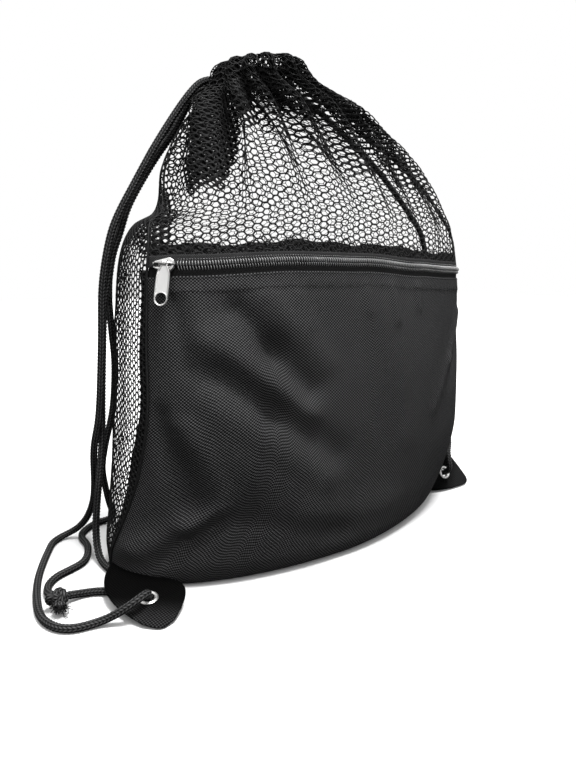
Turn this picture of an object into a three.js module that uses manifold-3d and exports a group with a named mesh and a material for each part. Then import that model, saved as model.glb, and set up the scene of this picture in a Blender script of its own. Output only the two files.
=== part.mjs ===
// Drawstring bag of hexagonal net with a woven zip pocket, standing stuffed on a floor.
// Millimetres, +Z up, the front with the zip faces -Y.
import * as THREE from "three";
import { mergeVertices } from "three/addons/utils/BufferGeometryUtils.js";
import Module from "manifold-3d";

const wasm = await Module();
wasm.setup();

// Driving dimensions
const clothThickness = 1.2;
const seamGap = 0.5; // from a panel's edge to the seam line
const zipHeight = 213; // middle of the zip above the floor
const upperTapeWidth = 5.8; // from the middle of the zip to the net
const lowerTapeWidth = 9.4; // from the middle of the zip to the pocket
const tapeGap = 0.4; // between the edges of tape and cloth
const tapeThickness = 0.9;
const frontGathers = 9; // pleats of the yoke round the neck
const backGathers = 5;
const mouthWidth = 9; // half the slot at each side seam where the cords leave the hem
const hemStart = 338; // height at which that slot starts
const neckMiddleX = -57;
const originX = 17.25; // moves the middle of the base to the origin
const originY = 10.9;

// Zip slider and pull
const coilHeight = 6.2; // along the cloth
const coilDepth = 2.6; // away from it
const coilGap = 0.8; // from the tapes
// Rise of the zip's line above its even height, along its length from left to right
const zipRise = [
  { at: 0, rise: 2 }, { at: 0.08, rise: 3 }, { at: 0.32, rise: 6.2 }, { at: 0.5, rise: 5.6 },
  { at: 0.68, rise: 2 }, { at: 0.82, rise: 0.4 }, { at: 1, rise: -0.4 },
];
const zipRiseReach = 2.5; // section rows over which that fades away
const rowHeightAtZip = 21;
const coilStart = 0.068; // shares of the zip's length from its left end
const coilEnd = 1.014;
const sliderPlace = 0.046;
const sliderLength = 14;
const sliderShift = -2; // of its body from the pull
const sliderHeight = 9.2;
const sliderThickness = 2.6;
const pinDiameter = 1.4;
const lugThickness = 1.4;
const pullLength = 27.5;
const pullWidth = 9.5;
const pullThickness = 1.3;
const pullHole = 6.4;
const pullLean = 2; // degrees towards the cloth
const pullClearance = 0.5;
const eyeDiameter = 4;
const eyeHole = 2.2;
const eyeLength = 3.6;
const eyeClearance = 0.4; // to the lugs
const pullNeck = 1.6; // half the pull's width at its eye
const pullShoulder = { halfWidth: 4.05, below: 6 };

// Corner tabs and eyelets
const tabThickness = 2;
const tabOffset = 2; // from the middle of the cloth
const tabRows = 8;
const tabColumns = 5;
const eyeletInner = 3.8;
const eyeletOuter = 6.3;
const eyeletWall = 0.8;
const eyeletGap = 0.4;
// Each tab's foot runs between two places of the front, its two edges bend and end at the tips
const leftTab = {
  fromS: 0.012, fromZ: 9, toS: 0.115, toZ: 9,
  bends: [[-207, -52, 14.2], [-158, -64, 12.6]],
  tips: [[-190, -87, 1.2], [-180, -90, 1.2]],
  eyeletAlong: 0.6, eyeletAcross: 0.5,
};
const rightTab = {
  fromS: 0.93, fromZ: 4, toS: 0.995, toZ: 42,
  bends: [[136, -31, 1.2], [150.5, -18, 26.5]],
  tips: [[162, -26, 1.2], [164, -25, 5]],
  eyeletAlong: 0.2, eyeletAcross: 0.44,
};

// Drawstrings and their knots
const cordDiameter = 5;
const neckMiddleY = 8;
const ringRadius = 24;
const ringTilt = 0.1; // rise per millimetre of X
const leftRingHeight = 351;
const rightRingHeight = 344;
const leftKnot = {
  place: [-232, -32, 7.2], turn: 15,
  tails: [[[-2.4, -9, -1.4], [-4.5, -16, -4]], [[1, -8, -1.4], [1.5, -15, -4.4]]],
};
const rightKnot = {
  place: [139, -4, 7.2], turn: 60,
  tails: [[[5.4, 6, -1.4], [9, 12, -4]], [[8, 1.4, -1.6], [14, 2, -4.4]]],
};
const knotLobes = [
  { size: [8.5, 6.2, 6.4], place: [0, 0, 0], turn: 0 },
  { size: [4.2, 7.4, 4.6], place: [-3.4, 0, 1.6], turn: 0.4 },
  { size: [4.2, 7.2, 4.4], place: [3.6, 0, 1], turn: -0.3 },
];
// From the left knot along the floor, up through its eyelet, round a loop and up to the neck
const leftRise = [
  [-224, -27.5, 5], [-215, -26, 2.8], [-206, -29, 2.8], [-196.5, -37, 2.8], [-189.5, -46.5, 2.8],
  [-185.6, -56.2, 3.1], [-184.3, -61.7, 4.7], [-183.8, -63.6, 8.6], [-183.9, -65.8, 12.4],
  [-185.7, -68.9, 15], [-189.4, -72.1, 16.2], [-194.8, -73.6, 14.8], [-200.3, -72.6, 11.8],
  [-205.6, -69.5, 7.8], [-211.5, -66.2, 4.4], [-219.5, -64, 2.8], [-229, -63, 2.8], [-237, -57.5, 2.8],
  [-242, -48, 2.8], [-244, -36, 2.8], [-238, 5, 2.8], [-222, 50, 2.8], [-215, 64, 2.8], [-206, 69, 3.4],
  [-197, 63, 9.5], [-191, 54, 21], [-188, 44, 38], [-188.5, 35, 54], [-189.5, 24.5, 86],
  [-186, 20, 108], [-181, 20, 158], [-177, 20, 206], [-169, 20, 239], [-163, 20, 252], [-153, 20, 269],
  [-132, 20, 303], [-106, 22, 338], [-96.5, 22.3, 347], [-88, 21.2, 349.3], [-82.4, 17, 348.8],
];
// From the neck down behind the left edge to the floor and forward to the left knot
const leftFall = [
  [-75.4, 26.8, 349.2], [-84, 27.8, 348.6], [-93, 31.6, 345], [-102, 35.5, 335], [-113, 38, 321],
  [-131, 41, 297], [-151, 45, 253], [-163, 45, 220], [-166, 46, 196], [-165, 48, 168],
  [-163, 52, 143], [-166, 55, 104], [-173, 56, 77], [-176, 58, 58], [-174, 61, 42],
  [-170, 66, 23], [-165.5, 73, 9], [-167, 80, 3.2], [-176, 80.5, 2.8], [-187, 73.5, 2.8],
  [-194, 65, 2.8], [-196, 55, 2.8], [-195, 44, 2.8], [-197.5, 31, 2.8], [-204, 17, 2.8],
  [-215, 10.5, 2.8], [-226, 5.5, 2.8], [-233, -4, 2.8], [-235, -15, 3.6], [-233.5, -23.5, 6],
];
// From the right knot through its eyelet and up the right side to the neck
const rightRise = [
  [134.6, -11, 11.2], [132.6, -15.8, 14.4], [132.1, -22.2, 17.2], [131.6, -28, 20.4], [129.8, -31.4, 25.4],
  [128.8, -31, 32], [131, -26.6, 40], [139, -20.5, 47], [146.5, -10, 56], [151.5, 1, 68],
  [152.5, 12, 85], [151, 21, 105], [149.5, 28, 128], [149.5, 31, 160], [150, 29.5, 195],
  [149, 29.5, 216], [140.5, 30, 246], [124, 31, 265.5], [105, 32, 284], [80, 32, 304.5],
  [52, 32, 322.5], [26, 31, 337.5], [3, 29, 348], [-12.5, 24.5, 352], [-22.5, 19.2, 350.3],
  [-29.4, 14, 347.8], [-32.6, 8.6, 346.5],
];
// From the neck down the left side to the foot of the left tab
const rightFall = [
  [-84, 20.5, 341.5], [-93, 26, 342.5], [-102, 28.3, 336], [-117, 27, 312], [-131, 26, 294],
  [-140, 26, 281], [-155, 26, 256], [-162, 26, 237], [-167, 26, 225], [-171, 26, 207],
  [-176, 26, 183], [-179, 26, 150], [-181.5, 26, 116], [-183.8, 24, 88], [-187.5, 21, 67],
  [-190.5, 21, 47], [-192.3, 22.5, 28], [-193, 21.5, 14], [-193.4, 15.5, 5.4], [-193, 8, 2.9],
  [-192, -1, 2.8], [-190.2, -10, 2.9],
];

// Outline of the bag at each height, from the bottom seam over the hem and down inside the neck.
// left, right, front and back are its reach, mid is the Y of its two ends, seamL and seamR the Y of
// the side seams, roundL and roundR how square its ends are, tilt its rise per millimetre of X and
// gather the height of the pleats.
const sectionColumns = [
  "z", "left", "right", "front", "back", "mid", "seamL", "seamR", "roundL", "roundR", "tilt", "gather",
];
const sectionRows = [
  [0.6, -182, 117, -0.2, 0.2, 0, 0, 0, 2.0, 2.0, 0, 0],
  [0.6, -187, 121, -67, 48, 0, 0, 0, 2.2, 1.6, 0, 0],
  [5, -189, 124, -75, 55, 0, -1, -2, 2.2, 1.65, 0, 0],
  [16, -189, 131, -79, 60, 2, -5, -5, 2.3, 1.7, 0, 0],
  [40, -185, 141, -80, 64, 5, -15, -8, 2.4, 1.85, 0, 0],
  [80, -178, 148, -81, 67, 8, -28, -10, 2.8, 2.0, 0, 0],
  [120, -174, 149, -79, 68, 10, -33, -12, 3.0, 2.0, 0, 0],
  [160, -171, 150, -74, 68, 12, -29, -13, 3.0, 2.0, 0, 0],
  [190, -168, 151, -68, 67, 12, -25, -14, 2.9, 2.0, 0, 0],
  [213, -166, 151, -62, 65, 12, -22, -15, 2.8, 2.0, 0, 0.3],
  [232, -162, 149, -58, 62, 12, -17, -12, 2.6, 2.0, 0, 0.8],
  [244, -155, 145, -56, 59, 12, -10, -9, 2.5, 2.0, 0, 1.2],
  [252, -141, 140, -54, 57, 12, -2, -6, 2.4, 2.0, 0, 1.5],
  [262, -135, 132, -51, 55, 12, 6, -3, 2.3, 2.0, 0, 1.9],
  [280, -131, 116, -46, 52, 12, 13, 2, 2.2, 2.0, 0, 2.6],
  [300, -122, 92, -40, 50, 11, 18, 8, 2.1, 2.0, 0, 3.2],
  [318, -112, 64, -34, 48, 10, 22, 14, 2.0, 2.0, 0, 3.8],
  [331, -103, 36, -30, 46, 9, 25, 18, 2.0, 2.0, 0.02, 4.3],
  [340, -96, 8, -27, 43, 8, 26, 20, 2.0, 2.0, 0.05, 4.5],
  [346.5, -91, -14, -25, 41, 8, 26, 20, 2.0, 2.0, 0.08, 4.5],
  [354, -90, -24, -25, 41, 8, 25, 20, 2.0, 2.0, 0.1, 4.5],
  [360, -86, -28, -21, 37, 8, 22, 18, 2.0, 2.0, 0.1, 3.5],
  [361.8, -81, -33, -16, 32, 8, 19, 16, 2.0, 2.0, 0.1, 1.5],
  [359.3, -76.5, -37.5, -11.5, 27.5, 8, 17, 14, 2.0, 2.0, 0.1, 2.0],
  [351, -74, -40, -9, 25, 8, 16, 13, 2.0, 2.0, 0.1, 3.0],
  [340, -74, -40, -9, 25, 8, 16, 13, 2.0, 2.0, 0.1, 3.0],
];
const crestRow = 22; // top of the hem

// Folds and dents of the pocket cloth, from one point of the front to another. depth is outward.
const folds = [
  { fromX: -122, fromZ: 190, toX: -84, toZ: 182, width: 17, depth: -4 },
  { fromX: -122, fromZ: 160, toX: -60, toZ: 100, width: 16, depth: 3.5 },
  { fromX: -70, fromZ: 166, toX: -60, toZ: 140, width: 9, depth: -3 },
  { fromX: -172, fromZ: 118, toX: -136, toZ: 62, width: 13, depth: -4.5 },
  { fromX: -136, fromZ: 145, toX: -50, toZ: 72, width: 10, depth: 2.5 },
  { fromX: -136, fromZ: 58, toX: -178, toZ: 40, width: 9, depth: -3 },
  { fromX: -130, fromZ: 54, toX: -40, toZ: 30, width: 12, depth: -2.5 },
  { fromX: 96, fromZ: 185, toX: 108, toZ: 110, width: 10, depth: -2.5 },
];

const mix = (a, b, t) => a + (b - a) * t;

// Value of a section column at a level, a row number with a fraction, smooth and without overshoot
function columnAt(column, level) {
  const last = sectionRows.length - 1;
  const row = Math.min(Math.floor(level), last - 1);
  const t = level - row;
  const rise = (k) => (k < 0 || k >= last ? 0 : sectionRows[k + 1][column] - sectionRows[k][column]);
  const slope = (k) => {
    const before = rise(k - 1);
    const after = rise(k);
    return before * after > 0 ? (2 * before * after) / (before + after) : 0;
  };
  const bend = t * t * (3 - 2 * t);
  const start = sectionRows[row][column] + rise(row) * bend;
  return start + slope(row) * t * (1 - t) * (1 - t) - slope(row + 1) * t * t * (1 - t);
}

function sectionAt(level) {
  return Object.fromEntries(sectionColumns.map((name, column) => [name, columnAt(column, level)]));
}

// Level at which the outside of the bag passes a height
function levelAt(height) {
  let low = 1;
  let high = crestRow;
  while (high - low > 1e-4) {
    const middle = (low + high) / 2;
    if (columnAt(0, middle) < height) low = middle;
    else high = middle;
  }
  return low;
}

// Point of a section's outline: angle 0 is the right end, half a turn the left end
function outlinePoint(section, angle) {
  const c = Math.cos(angle);
  const s = Math.sin(angle);
  const power = 2 / (c < 0 ? section.roundL : section.roundR);
  const reachX = (section.right - section.left) / 2;
  const reachY = s < 0 ? section.mid - section.front : section.back - section.mid;
  const x = (section.right + section.left) / 2 + reachX * Math.sign(c) * Math.abs(c) ** power;
  return [x, section.mid + reachY * Math.sign(s) * Math.abs(s) ** power];
}

// Angle from an end of the outline to the side seam, positive towards the front
function seamAngle(section, seamY, round) {
  const ahead = section.mid - seamY;
  const reach = ahead > 0 ? section.mid - section.front : section.back - section.mid;
  return Math.sign(ahead) * Math.asin(Math.min(Math.abs(ahead) / reach, 1) ** (round / 2));
}

// Evenly measured outline of a panel at a level, from its first side seam to its second
const panelLines = new Map();
function panelLine(side, level) {
  const key = side + level.toFixed(5);
  if (panelLines.has(key)) return panelLines.get(key);
  const section = sectionAt(level);
  const leftSeam = Math.PI + seamAngle(section, section.seamL, section.roundL);
  const rightSeam = -seamAngle(section, section.seamR, section.roundR);
  const steps = 240;
  const [from, to] = side === "front" ? [leftSeam, rightSeam + 2 * Math.PI] : [rightSeam, leftSeam];
  const points = [];
  const lengths = [0];
  for (let i = 0; i <= steps; i += 1) {
    points.push(outlinePoint(section, mix(from, to, i / steps)));
    if (i) lengths.push(lengths[i - 1] + Math.hypot(...points[i].map((v, k) => v - points[i - 1][k])));
  }
  const line = { section, points, lengths, length: lengths[steps] };
  panelLines.set(key, line);
  return line;
}

function foldDepth(x, z) {
  let depth = 0;
  for (const fold of folds) {
    const dx = fold.toX - fold.fromX;
    const dz = fold.toZ - fold.fromZ;
    const along = ((x - fold.fromX) * dx + (z - fold.fromZ) * dz) / (dx * dx + dz * dz);
    const t = Math.min(Math.max(along, 0), 1);
    const distance = Math.hypot(x - fold.fromX - dx * t, z - fold.fromZ - dz * t);
    depth += fold.depth * Math.exp(-((distance / fold.width) ** 2));
  }
  return depth;
}

// Share of a section row by which the front's cloth is lifted where its zip rises
function zipLift(s, level) {
  const next = Math.min(Math.max(zipRise.findIndex(({ at }) => at > s), 1), zipRise.length - 1);
  const from = zipRise[s >= 1 ? zipRise.length - 2 : next - 1];
  const to = zipRise[s >= 1 ? zipRise.length - 1 : next];
  const rise = mix(from.rise, to.rise, THREE.MathUtils.smoothstep(s, from.at, to.at));
  const row = levelAt(zipHeight);
  return (rise / rowHeightAtZip) * Math.exp(-(((level - row) / zipRiseReach) ** 2));
}

// Middle of the cloth, s from the first side seam of the panel to the second
function clothPoint(side, s, level) {
  const line = panelLine(side, side === "front" ? Math.max(level + zipLift(s, level), 0) : level);
  const target = Math.min(Math.max(s, 0), 1) * line.length;
  let i = 1;
  while (i < line.lengths.length - 1 && line.lengths[i] < target) i += 1;
  const [ax, ay] = line.points[i - 1];
  const [bx, by] = line.points[i];
  const span = line.lengths[i] - line.lengths[i - 1] || 1;
  const t = (target - line.lengths[i - 1]) / span;
  const overrun = (s - Math.min(Math.max(s, 0), 1)) * line.length;
  const [tx, ty] = [(bx - ax) / span, (by - ay) / span];
  const count = side === "front" ? frontGathers : backGathers;
  const wander = s + 0.012 * Math.sin(2 * Math.PI * 3 * s);
  const inward = level > crestRow ? -1 : 1;
  let out = inward * line.section.gather * Math.cos(2 * Math.PI * count * wander);
  const { z } = line.section;
  if (side === "front" && z < zipHeight) out += foldDepth(mix(ax, bx, t), z) * Math.min(z / 20, 1);
  const x = mix(ax, bx, t) + tx * overrun + ty * out;
  const y = mix(ay, by, t) + ty * overrun - tx * out;
  return new THREE.Vector3(x, y, z + line.section.tilt * (x - neckMiddleX));
}

// Outward direction of the cloth
function clothNormal(side, s, level) {
  const ds = 0.004;
  const dl = 0.02;
  const along = clothPoint(side, s + ds, level).sub(clothPoint(side, s - ds, level));
  const above = Math.min(level + dl, sectionRows.length - 1);
  const below = Math.max(level - dl, 0);
  const up = clothPoint(side, s, above).sub(clothPoint(side, s, below));
  return along.cross(up).normalize();
}

// Closed wall on both sides of a grid of points, whose columns run along and rows upward
function wallGeometry(grid, thickness) {
  const rows = grid.length;
  const columns = grid[0].length;
  const at = (i, j) => grid[Math.min(Math.max(i, 0), rows - 1)][Math.min(Math.max(j, 0), columns - 1)];
  const positions = [];
  for (const half of [thickness / 2, -thickness / 2]) {
    for (let i = 0; i < rows; i += 1) {
      for (let j = 0; j < columns; j += 1) {
        const along = at(i, j + 1).clone().sub(at(i, j - 1));
        const up = at(i + 1, j).clone().sub(at(i - 1, j));
        const normal = along.cross(up).normalize();
        positions.push(...at(i, j).clone().addScaledVector(normal, half).toArray());
      }
    }
  }
  const index = [];
  const inner = rows * columns;
  const quad = (a, b, c, d) => index.push(a, b, c, a, c, d);
  for (let i = 0; i < rows - 1; i += 1) {
    for (let j = 0; j < columns - 1; j += 1) {
      const a = i * columns + j;
      quad(a, a + 1, a + columns + 1, a + columns);
      quad(inner + a, inner + a + columns, inner + a + columns + 1, inner + a + 1);
    }
  }
  const rim = [];
  for (let j = 0; j < columns - 1; j += 1) rim.push(j);
  for (let i = 0; i < rows - 1; i += 1) rim.push(i * columns + columns - 1);
  for (let j = columns - 1; j > 0; j -= 1) rim.push((rows - 1) * columns + j);
  for (let i = rows - 1; i > 0; i -= 1) rim.push(i * columns);
  rim.forEach((a, k) => {
    const b = rim[(k + 1) % rim.length];
    quad(a, inner + a, inner + b, b);
  });
  const geometry = new THREE.BufferGeometry();
  geometry.setAttribute("position", new THREE.Float32BufferAttribute(positions, 3));
  geometry.setIndex(index);
  return geometry;
}

// Panel of cloth between two levels, clear of its side seams and of the slots in the hem
function panelGeometry(side, levels, columns, thickness) {
  const grid = levels.map((level) => {
    const line = panelLine(side, level);
    const { z } = line.section;
    const opening = level > crestRow ? 1 : THREE.MathUtils.smoothstep(z, hemStart - mouthWidth, hemStart);
    const edge = mix(seamGap, mouthWidth, opening) / line.length;
    const place = (j) => mix(edge, 1 - edge, j / columns);
    return Array.from({ length: columns + 1 }, (_, j) => clothPoint(side, place(j), level));
  });
  return wallGeometry(grid, thickness);
}

// Levels from one to another, as many as asked for each section row they pass
function levelsBetween(from, to, perRow) {
  const count = Math.max(1, Math.round((to - from) * perRow));
  return Array.from({ length: count + 1 }, (_, i) => mix(from, to, i / count));
}

// Solid for joining and cutting, and back
function solidOf(geometry) {
  const bare = geometry.index ? geometry.toNonIndexed() : geometry.clone();
  for (const name of Object.keys(bare.attributes)) if (name !== "position") bare.deleteAttribute(name);
  const merged = mergeVertices(bare, 1e-4);
  const vertProperties = merged.attributes.position.array;
  const triVerts = new Uint32Array(merged.index.array);
  return new wasm.Manifold(new wasm.Mesh({ numProp: 3, vertProperties, triVerts }));
}

function geometryOf(solid) {
  const mesh = solid.getMesh();
  const geometry = new THREE.BufferGeometry();
  geometry.setAttribute("position", new THREE.Float32BufferAttribute(mesh.vertProperties, 3));
  geometry.setIndex(new THREE.Uint32BufferAttribute(mesh.triVerts, 1));
  return geometry;
}

function joined(geometries) {
  return geometryOf(geometries.map(solidOf).reduce((whole, next) => whole.add(next)));
}

// Tube along a curve, with its steps spread evenly over the curve's points
class RouteCurve extends THREE.CatmullRomCurve3 {
  getPointAt(t, target) {
    return this.getPoint(t, target);
  }

  getTangentAt(t, target) {
    return this.getTangent(t, target);
  }
}

function tubeGeometry(points, height, depth, sides, stepsPerPoint) {
  const corner = (_, i) => {
    const angle = (2 * Math.PI * i) / sides;
    return new THREE.Vector2((Math.cos(angle) * height) / 2, (Math.sin(angle) * depth) / 2);
  };
  const section = new THREE.Shape(Array.from({ length: sides }, corner));
  const extrudePath = new RouteCurve(points);
  const steps = (points.length - 1) * stepsPerPoint;
  return new THREE.ExtrudeGeometry(section, { extrudePath, steps, bevelEnabled: false });
}

const bag = new THREE.Group();
bag.position.set(originX, originY, 0);
function addPiece(name, geometry, material, parent = bag) {
  const mesh = new THREE.Mesh(geometry, material);
  mesh.name = name;
  parent.add(mesh);
  return mesh;
}

const netBlack = new THREE.MeshStandardMaterial({ color: 0x141414, roughness: 0.8, metalness: 0 });
const wovenBlack = new THREE.MeshStandardMaterial({ color: 0x1b1b1c, roughness: 0.62, metalness: 0 });
const tapeBlack = new THREE.MeshStandardMaterial({ color: 0x101010, roughness: 0.85, metalness: 0 });
const nylonBlack = new THREE.MeshStandardMaterial({ color: 0x171717, roughness: 0.45, metalness: 0 });
const nickel = new THREE.MeshStandardMaterial({ color: 0xc9c8c4, roughness: 0.28, metalness: 1 });
const braidBlack = new THREE.MeshStandardMaterial({ color: 0x161616, roughness: 0.7, metalness: 0 });

// Panels of the bag
const lastLevel = sectionRows.length - 1;
const yokeStart = levelAt(zipHeight + upperTapeWidth + tapeGap);
const pocketEnd = levelAt(zipHeight - lowerTapeWidth - tapeGap);
const bottomLevels = [0, 0.5, 1, 1.5];
const backLevels = [...bottomLevels, ...levelsBetween(2, lastLevel, 1)];
addPiece("back_panel", panelGeometry("back", backLevels, 24, clothThickness), netBlack);
const yokeLevels = levelsBetween(yokeStart, lastLevel, 1);
addPiece("front_yoke", panelGeometry("front", yokeLevels, 28, clothThickness), netBlack);
const pocketLevels = [...bottomLevels, ...levelsBetween(2, pocketEnd, 1.8)];
addPiece("pocket_panel", panelGeometry("front", pocketLevels, 24, clothThickness), wovenBlack);

// Zip: two tapes, the coil between them and a nub where it ends past the right seam
const zipLevel = levelAt(zipHeight);
const zipColumns = 24;
const upperTape = [levelAt(zipHeight + tapeGap / 2), levelAt(zipHeight + upperTapeWidth)];
const lowerTape = [levelAt(zipHeight - lowerTapeWidth), levelAt(zipHeight - tapeGap / 2)];
addPiece("zip_tape_upper", panelGeometry("front", upperTape, zipColumns, tapeThickness), tapeBlack);
addPiece("zip_tape_lower", panelGeometry("front", lowerTape, zipColumns, tapeThickness), tapeBlack);

function offCloth(side, s, level, distance) {
  return clothPoint(side, s, level).addScaledVector(clothNormal(side, s, level), distance);
}
const coilLift = tapeThickness / 2 + coilGap + coilDepth / 2;
const coilPoints = [];
for (let i = 0; i <= zipColumns; i += 1) {
  coilPoints.push(offCloth("front", mix(coilStart, coilEnd, i / zipColumns), zipLevel, coilLift));
}
addPiece("zip_coil", tubeGeometry(coilPoints, coilHeight, coilDepth, 8, 1), nylonBlack);

// Slider over the zip and its pull, in a frame with X along the zip, Y up and Z away from the cloth
const sliderFrame = new THREE.Group();
const sliderOut = clothNormal("front", sliderPlace, zipLevel);
const sliderAhead = clothPoint("front", sliderPlace + 0.01, zipLevel);
const sliderAlong = sliderAhead.sub(clothPoint("front", sliderPlace - 0.01, zipLevel)).normalize();
const sliderUp = sliderOut.clone().cross(sliderAlong).normalize();
sliderOut.crossVectors(sliderAlong, sliderUp);
new THREE.Matrix4()
  .makeBasis(sliderAlong, sliderUp, sliderOut)
  .setPosition(clothPoint("front", sliderPlace, zipLevel))
  .decompose(sliderFrame.position, sliderFrame.quaternion, sliderFrame.scale);
bag.add(sliderFrame);

function roundedRectangle(width, height, radius) {
  const shape = new THREE.Shape();
  const x = width / 2 - radius;
  const y = height / 2 - radius;
  shape.absarc(x, y, radius, 0, Math.PI / 2);
  shape.absarc(-x, y, radius, Math.PI / 2, Math.PI);
  shape.absarc(-x, -y, radius, Math.PI, 1.5 * Math.PI);
  shape.absarc(x, -y, radius, 1.5 * Math.PI, 2 * Math.PI);
  return shape;
}
function plate(shape, thickness) {
  const curveSegments = 5;
  return new THREE.ExtrudeGeometry(shape, { depth: thickness, curveSegments, bevelEnabled: false });
}
const sliderBase = tapeThickness / 2 + tapeGap;
const sliderTop = sliderBase + sliderThickness;
const pivotOut = sliderTop + pullClearance + eyeDiameter / 2;
const lugTop = pivotOut + pinDiameter / 2 + 0.3;
const lugFoot = sliderTop - 0.5; // sunk into the slider's plate
const pinLength = eyeLength + lugThickness + 2 * eyeClearance;
const sliderPlate = plate(roundedRectangle(sliderLength, sliderHeight, sliderHeight * 0.4), sliderThickness);
const sliderParts = [sliderPlate.translate(sliderShift, 0, sliderBase)];
for (const end of [-1, 1]) {
  const lug = new THREE.BoxGeometry(lugThickness, 2 * pinDiameter, lugTop - lugFoot);
  sliderParts.push(lug.translate((end * pinLength) / 2, 0, (lugTop + lugFoot) / 2));
}
const pin = new THREE.CylinderGeometry(pinDiameter / 2, pinDiameter / 2, pinLength, 10);
sliderParts.push(pin.rotateZ(Math.PI / 2).translate(0, 0, pivotOut));
addPiece("zip_slider", joined(sliderParts), nickel, sliderFrame);

const pullRound = pullWidth / 2;
const pullCentre = pullRound - pullLength;
const pullTop = -eyeDiameter * 0.36;
const pullOutline = new THREE.Shape();
pullOutline.moveTo(-pullNeck, pullTop);
pullOutline.lineTo(-pullShoulder.halfWidth, -pullShoulder.below);
pullOutline.absarc(0, pullCentre, pullRound, Math.PI, 2 * Math.PI);
pullOutline.lineTo(pullShoulder.halfWidth, -pullShoulder.below);
pullOutline.lineTo(pullNeck, pullTop);
pullOutline.holes.push(new THREE.Path().absarc(0, pullCentre, pullHole / 2, 0, 2 * Math.PI, true));
const eyeOutline = new THREE.Shape().absarc(0, 0, eyeDiameter / 2, 0, 2 * Math.PI);
eyeOutline.holes.push(new THREE.Path().absarc(0, 0, eyeHole / 2, 0, 2 * Math.PI, true));
const pullPlate = plate(pullOutline, pullThickness).translate(0, 0, -pullThickness / 2);
const pullEye = plate(eyeOutline, eyeLength).translate(0, 0, -eyeLength / 2).rotateY(Math.PI / 2);
const pull = addPiece("zip_pull", joined([pullPlate, pullEye]), nickel, sliderFrame);
pull.position.z = pivotOut;
pull.rotation.x = THREE.MathUtils.degToRad(pullLean);

// Corner tabs: doubled cloth from a line on the bag to a tip, between two curved edges
const vector = (x, y, z) => new THREE.Vector3(x, y, z);

function tabSurface(tab) {
  const foot = (u) => {
    const level = levelAt(mix(tab.fromZ, tab.toZ, u));
    return offCloth("front", mix(tab.fromS, tab.toS, u), level, tabOffset);
  };
  const edges = [0, 1].map((u) => {
    return new THREE.QuadraticBezierCurve3(foot(u), vector(...tab.bends[u]), vector(...tab.tips[u]));
  });
  return (t, u) => {
    const bulge = foot(u).sub(foot(0).lerp(foot(1), u));
    return edges[0].getPoint(t).lerp(edges[1].getPoint(t), u).addScaledVector(bulge, (1 - t) ** 2);
  };
}

function addTab(name, tab) {
  const at = tabSurface(tab);
  const grid = [];
  for (let i = 0; i <= tabRows; i += 1) {
    grid.push(Array.from({ length: tabColumns + 1 }, (_, j) => at(i / tabRows, j / tabColumns)));
  }
  const { eyeletAlong: t, eyeletAcross: u } = tab;
  const centre = at(t, u);
  const across = at(t, u + 0.1).sub(at(t, u - 0.1));
  const along = at(t + 0.05, u).sub(at(t - 0.05, u));
  const turn = new THREE.Quaternion().setFromUnitVectors(vector(0, 1, 0), across.cross(along).normalize());
  const place = (geometry) => geometry.applyQuaternion(turn).translate(centre.x, centre.y, centre.z);
  const barrel = eyeletInner + eyeletWall;
  const hole = place(new THREE.CylinderGeometry(barrel + eyeletGap, barrel + eyeletGap, 12, 12));
  const wall = solidOf(wallGeometry(grid, tabThickness)).subtract(solidOf(hole));
  addPiece("corner_tab_" + name, geometryOf(wall), wovenBlack);
  const low = tabThickness / 2 + eyeletGap;
  const high = low + eyeletWall;
  const profile = [
    [eyeletInner, -high], [eyeletOuter, -high], [eyeletOuter, -low], [barrel, -low],
    [barrel, low], [eyeletOuter, low], [eyeletOuter, high], [eyeletInner, high], [eyeletInner, -high],
  ].map(([x, y]) => new THREE.Vector2(x, y));
  addPiece("eyelet_" + name, place(new THREE.LatheGeometry(profile, 14)), nickel);
}
addTab("left", leftTab);
addTab("right", rightTab);

// Drawstrings: the ring of each round the neck and the points its ends pass
function ringPoints(height, fromAngle, toAngle, count) {
  return Array.from({ length: count + 1 }, (_, i) => {
    const angle = THREE.MathUtils.degToRad(mix(fromAngle, toAngle, i / count));
    const x = neckMiddleX + ringRadius * Math.cos(angle);
    return [x, neckMiddleY + ringRadius * Math.sin(angle), height + ringTilt * (x - neckMiddleX)];
  });
}
const leftRoute = [...leftRise, ...ringPoints(leftRingHeight, 172, 478, 12), ...leftFall];
const rightRoute = [...rightRise, ...ringPoints(rightRingHeight, -8, -186, 7), ...rightFall];
function cordGeometry(points, sides) {
  return tubeGeometry(points, cordDiameter, cordDiameter, sides, 1);
}
const routePoints = (route) => route.map((point) => vector(...point));
addPiece("cord_left", cordGeometry(routePoints(leftRoute), 8), braidBlack);
addPiece("cord_right", cordGeometry(routePoints(rightRoute), 8), braidBlack);

// Overhand knots: three lobes and the short tails of the cord
function knotGeometry(knot) {
  const lobes = knotLobes.map(({ size, place, turn }) => {
    return new THREE.SphereGeometry(1, 7, 5).scale(...size).rotateY(turn).translate(...place);
  });
  const tails = knot.tails.map((tail) => {
    return cordGeometry(routePoints([[0, 0, 0], ...tail]), 6);
  });
  const lobesTurned = lobes.map((lobe) => lobe.rotateZ(THREE.MathUtils.degToRad(knot.turn)));
  return joined([...lobesTurned, ...tails]).translate(...knot.place);
}
addPiece("knot_left", knotGeometry(leftKnot), braidBlack);
addPiece("knot_right", knotGeometry(rightKnot), braidBlack);

export default bag;
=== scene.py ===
# Looks of the drawstring mesh bag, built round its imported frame
# Metres, +Z up, the front with the zip faces -Y
import math
import bpy
import numpy as np
from mathutils import Matrix, Vector


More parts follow.
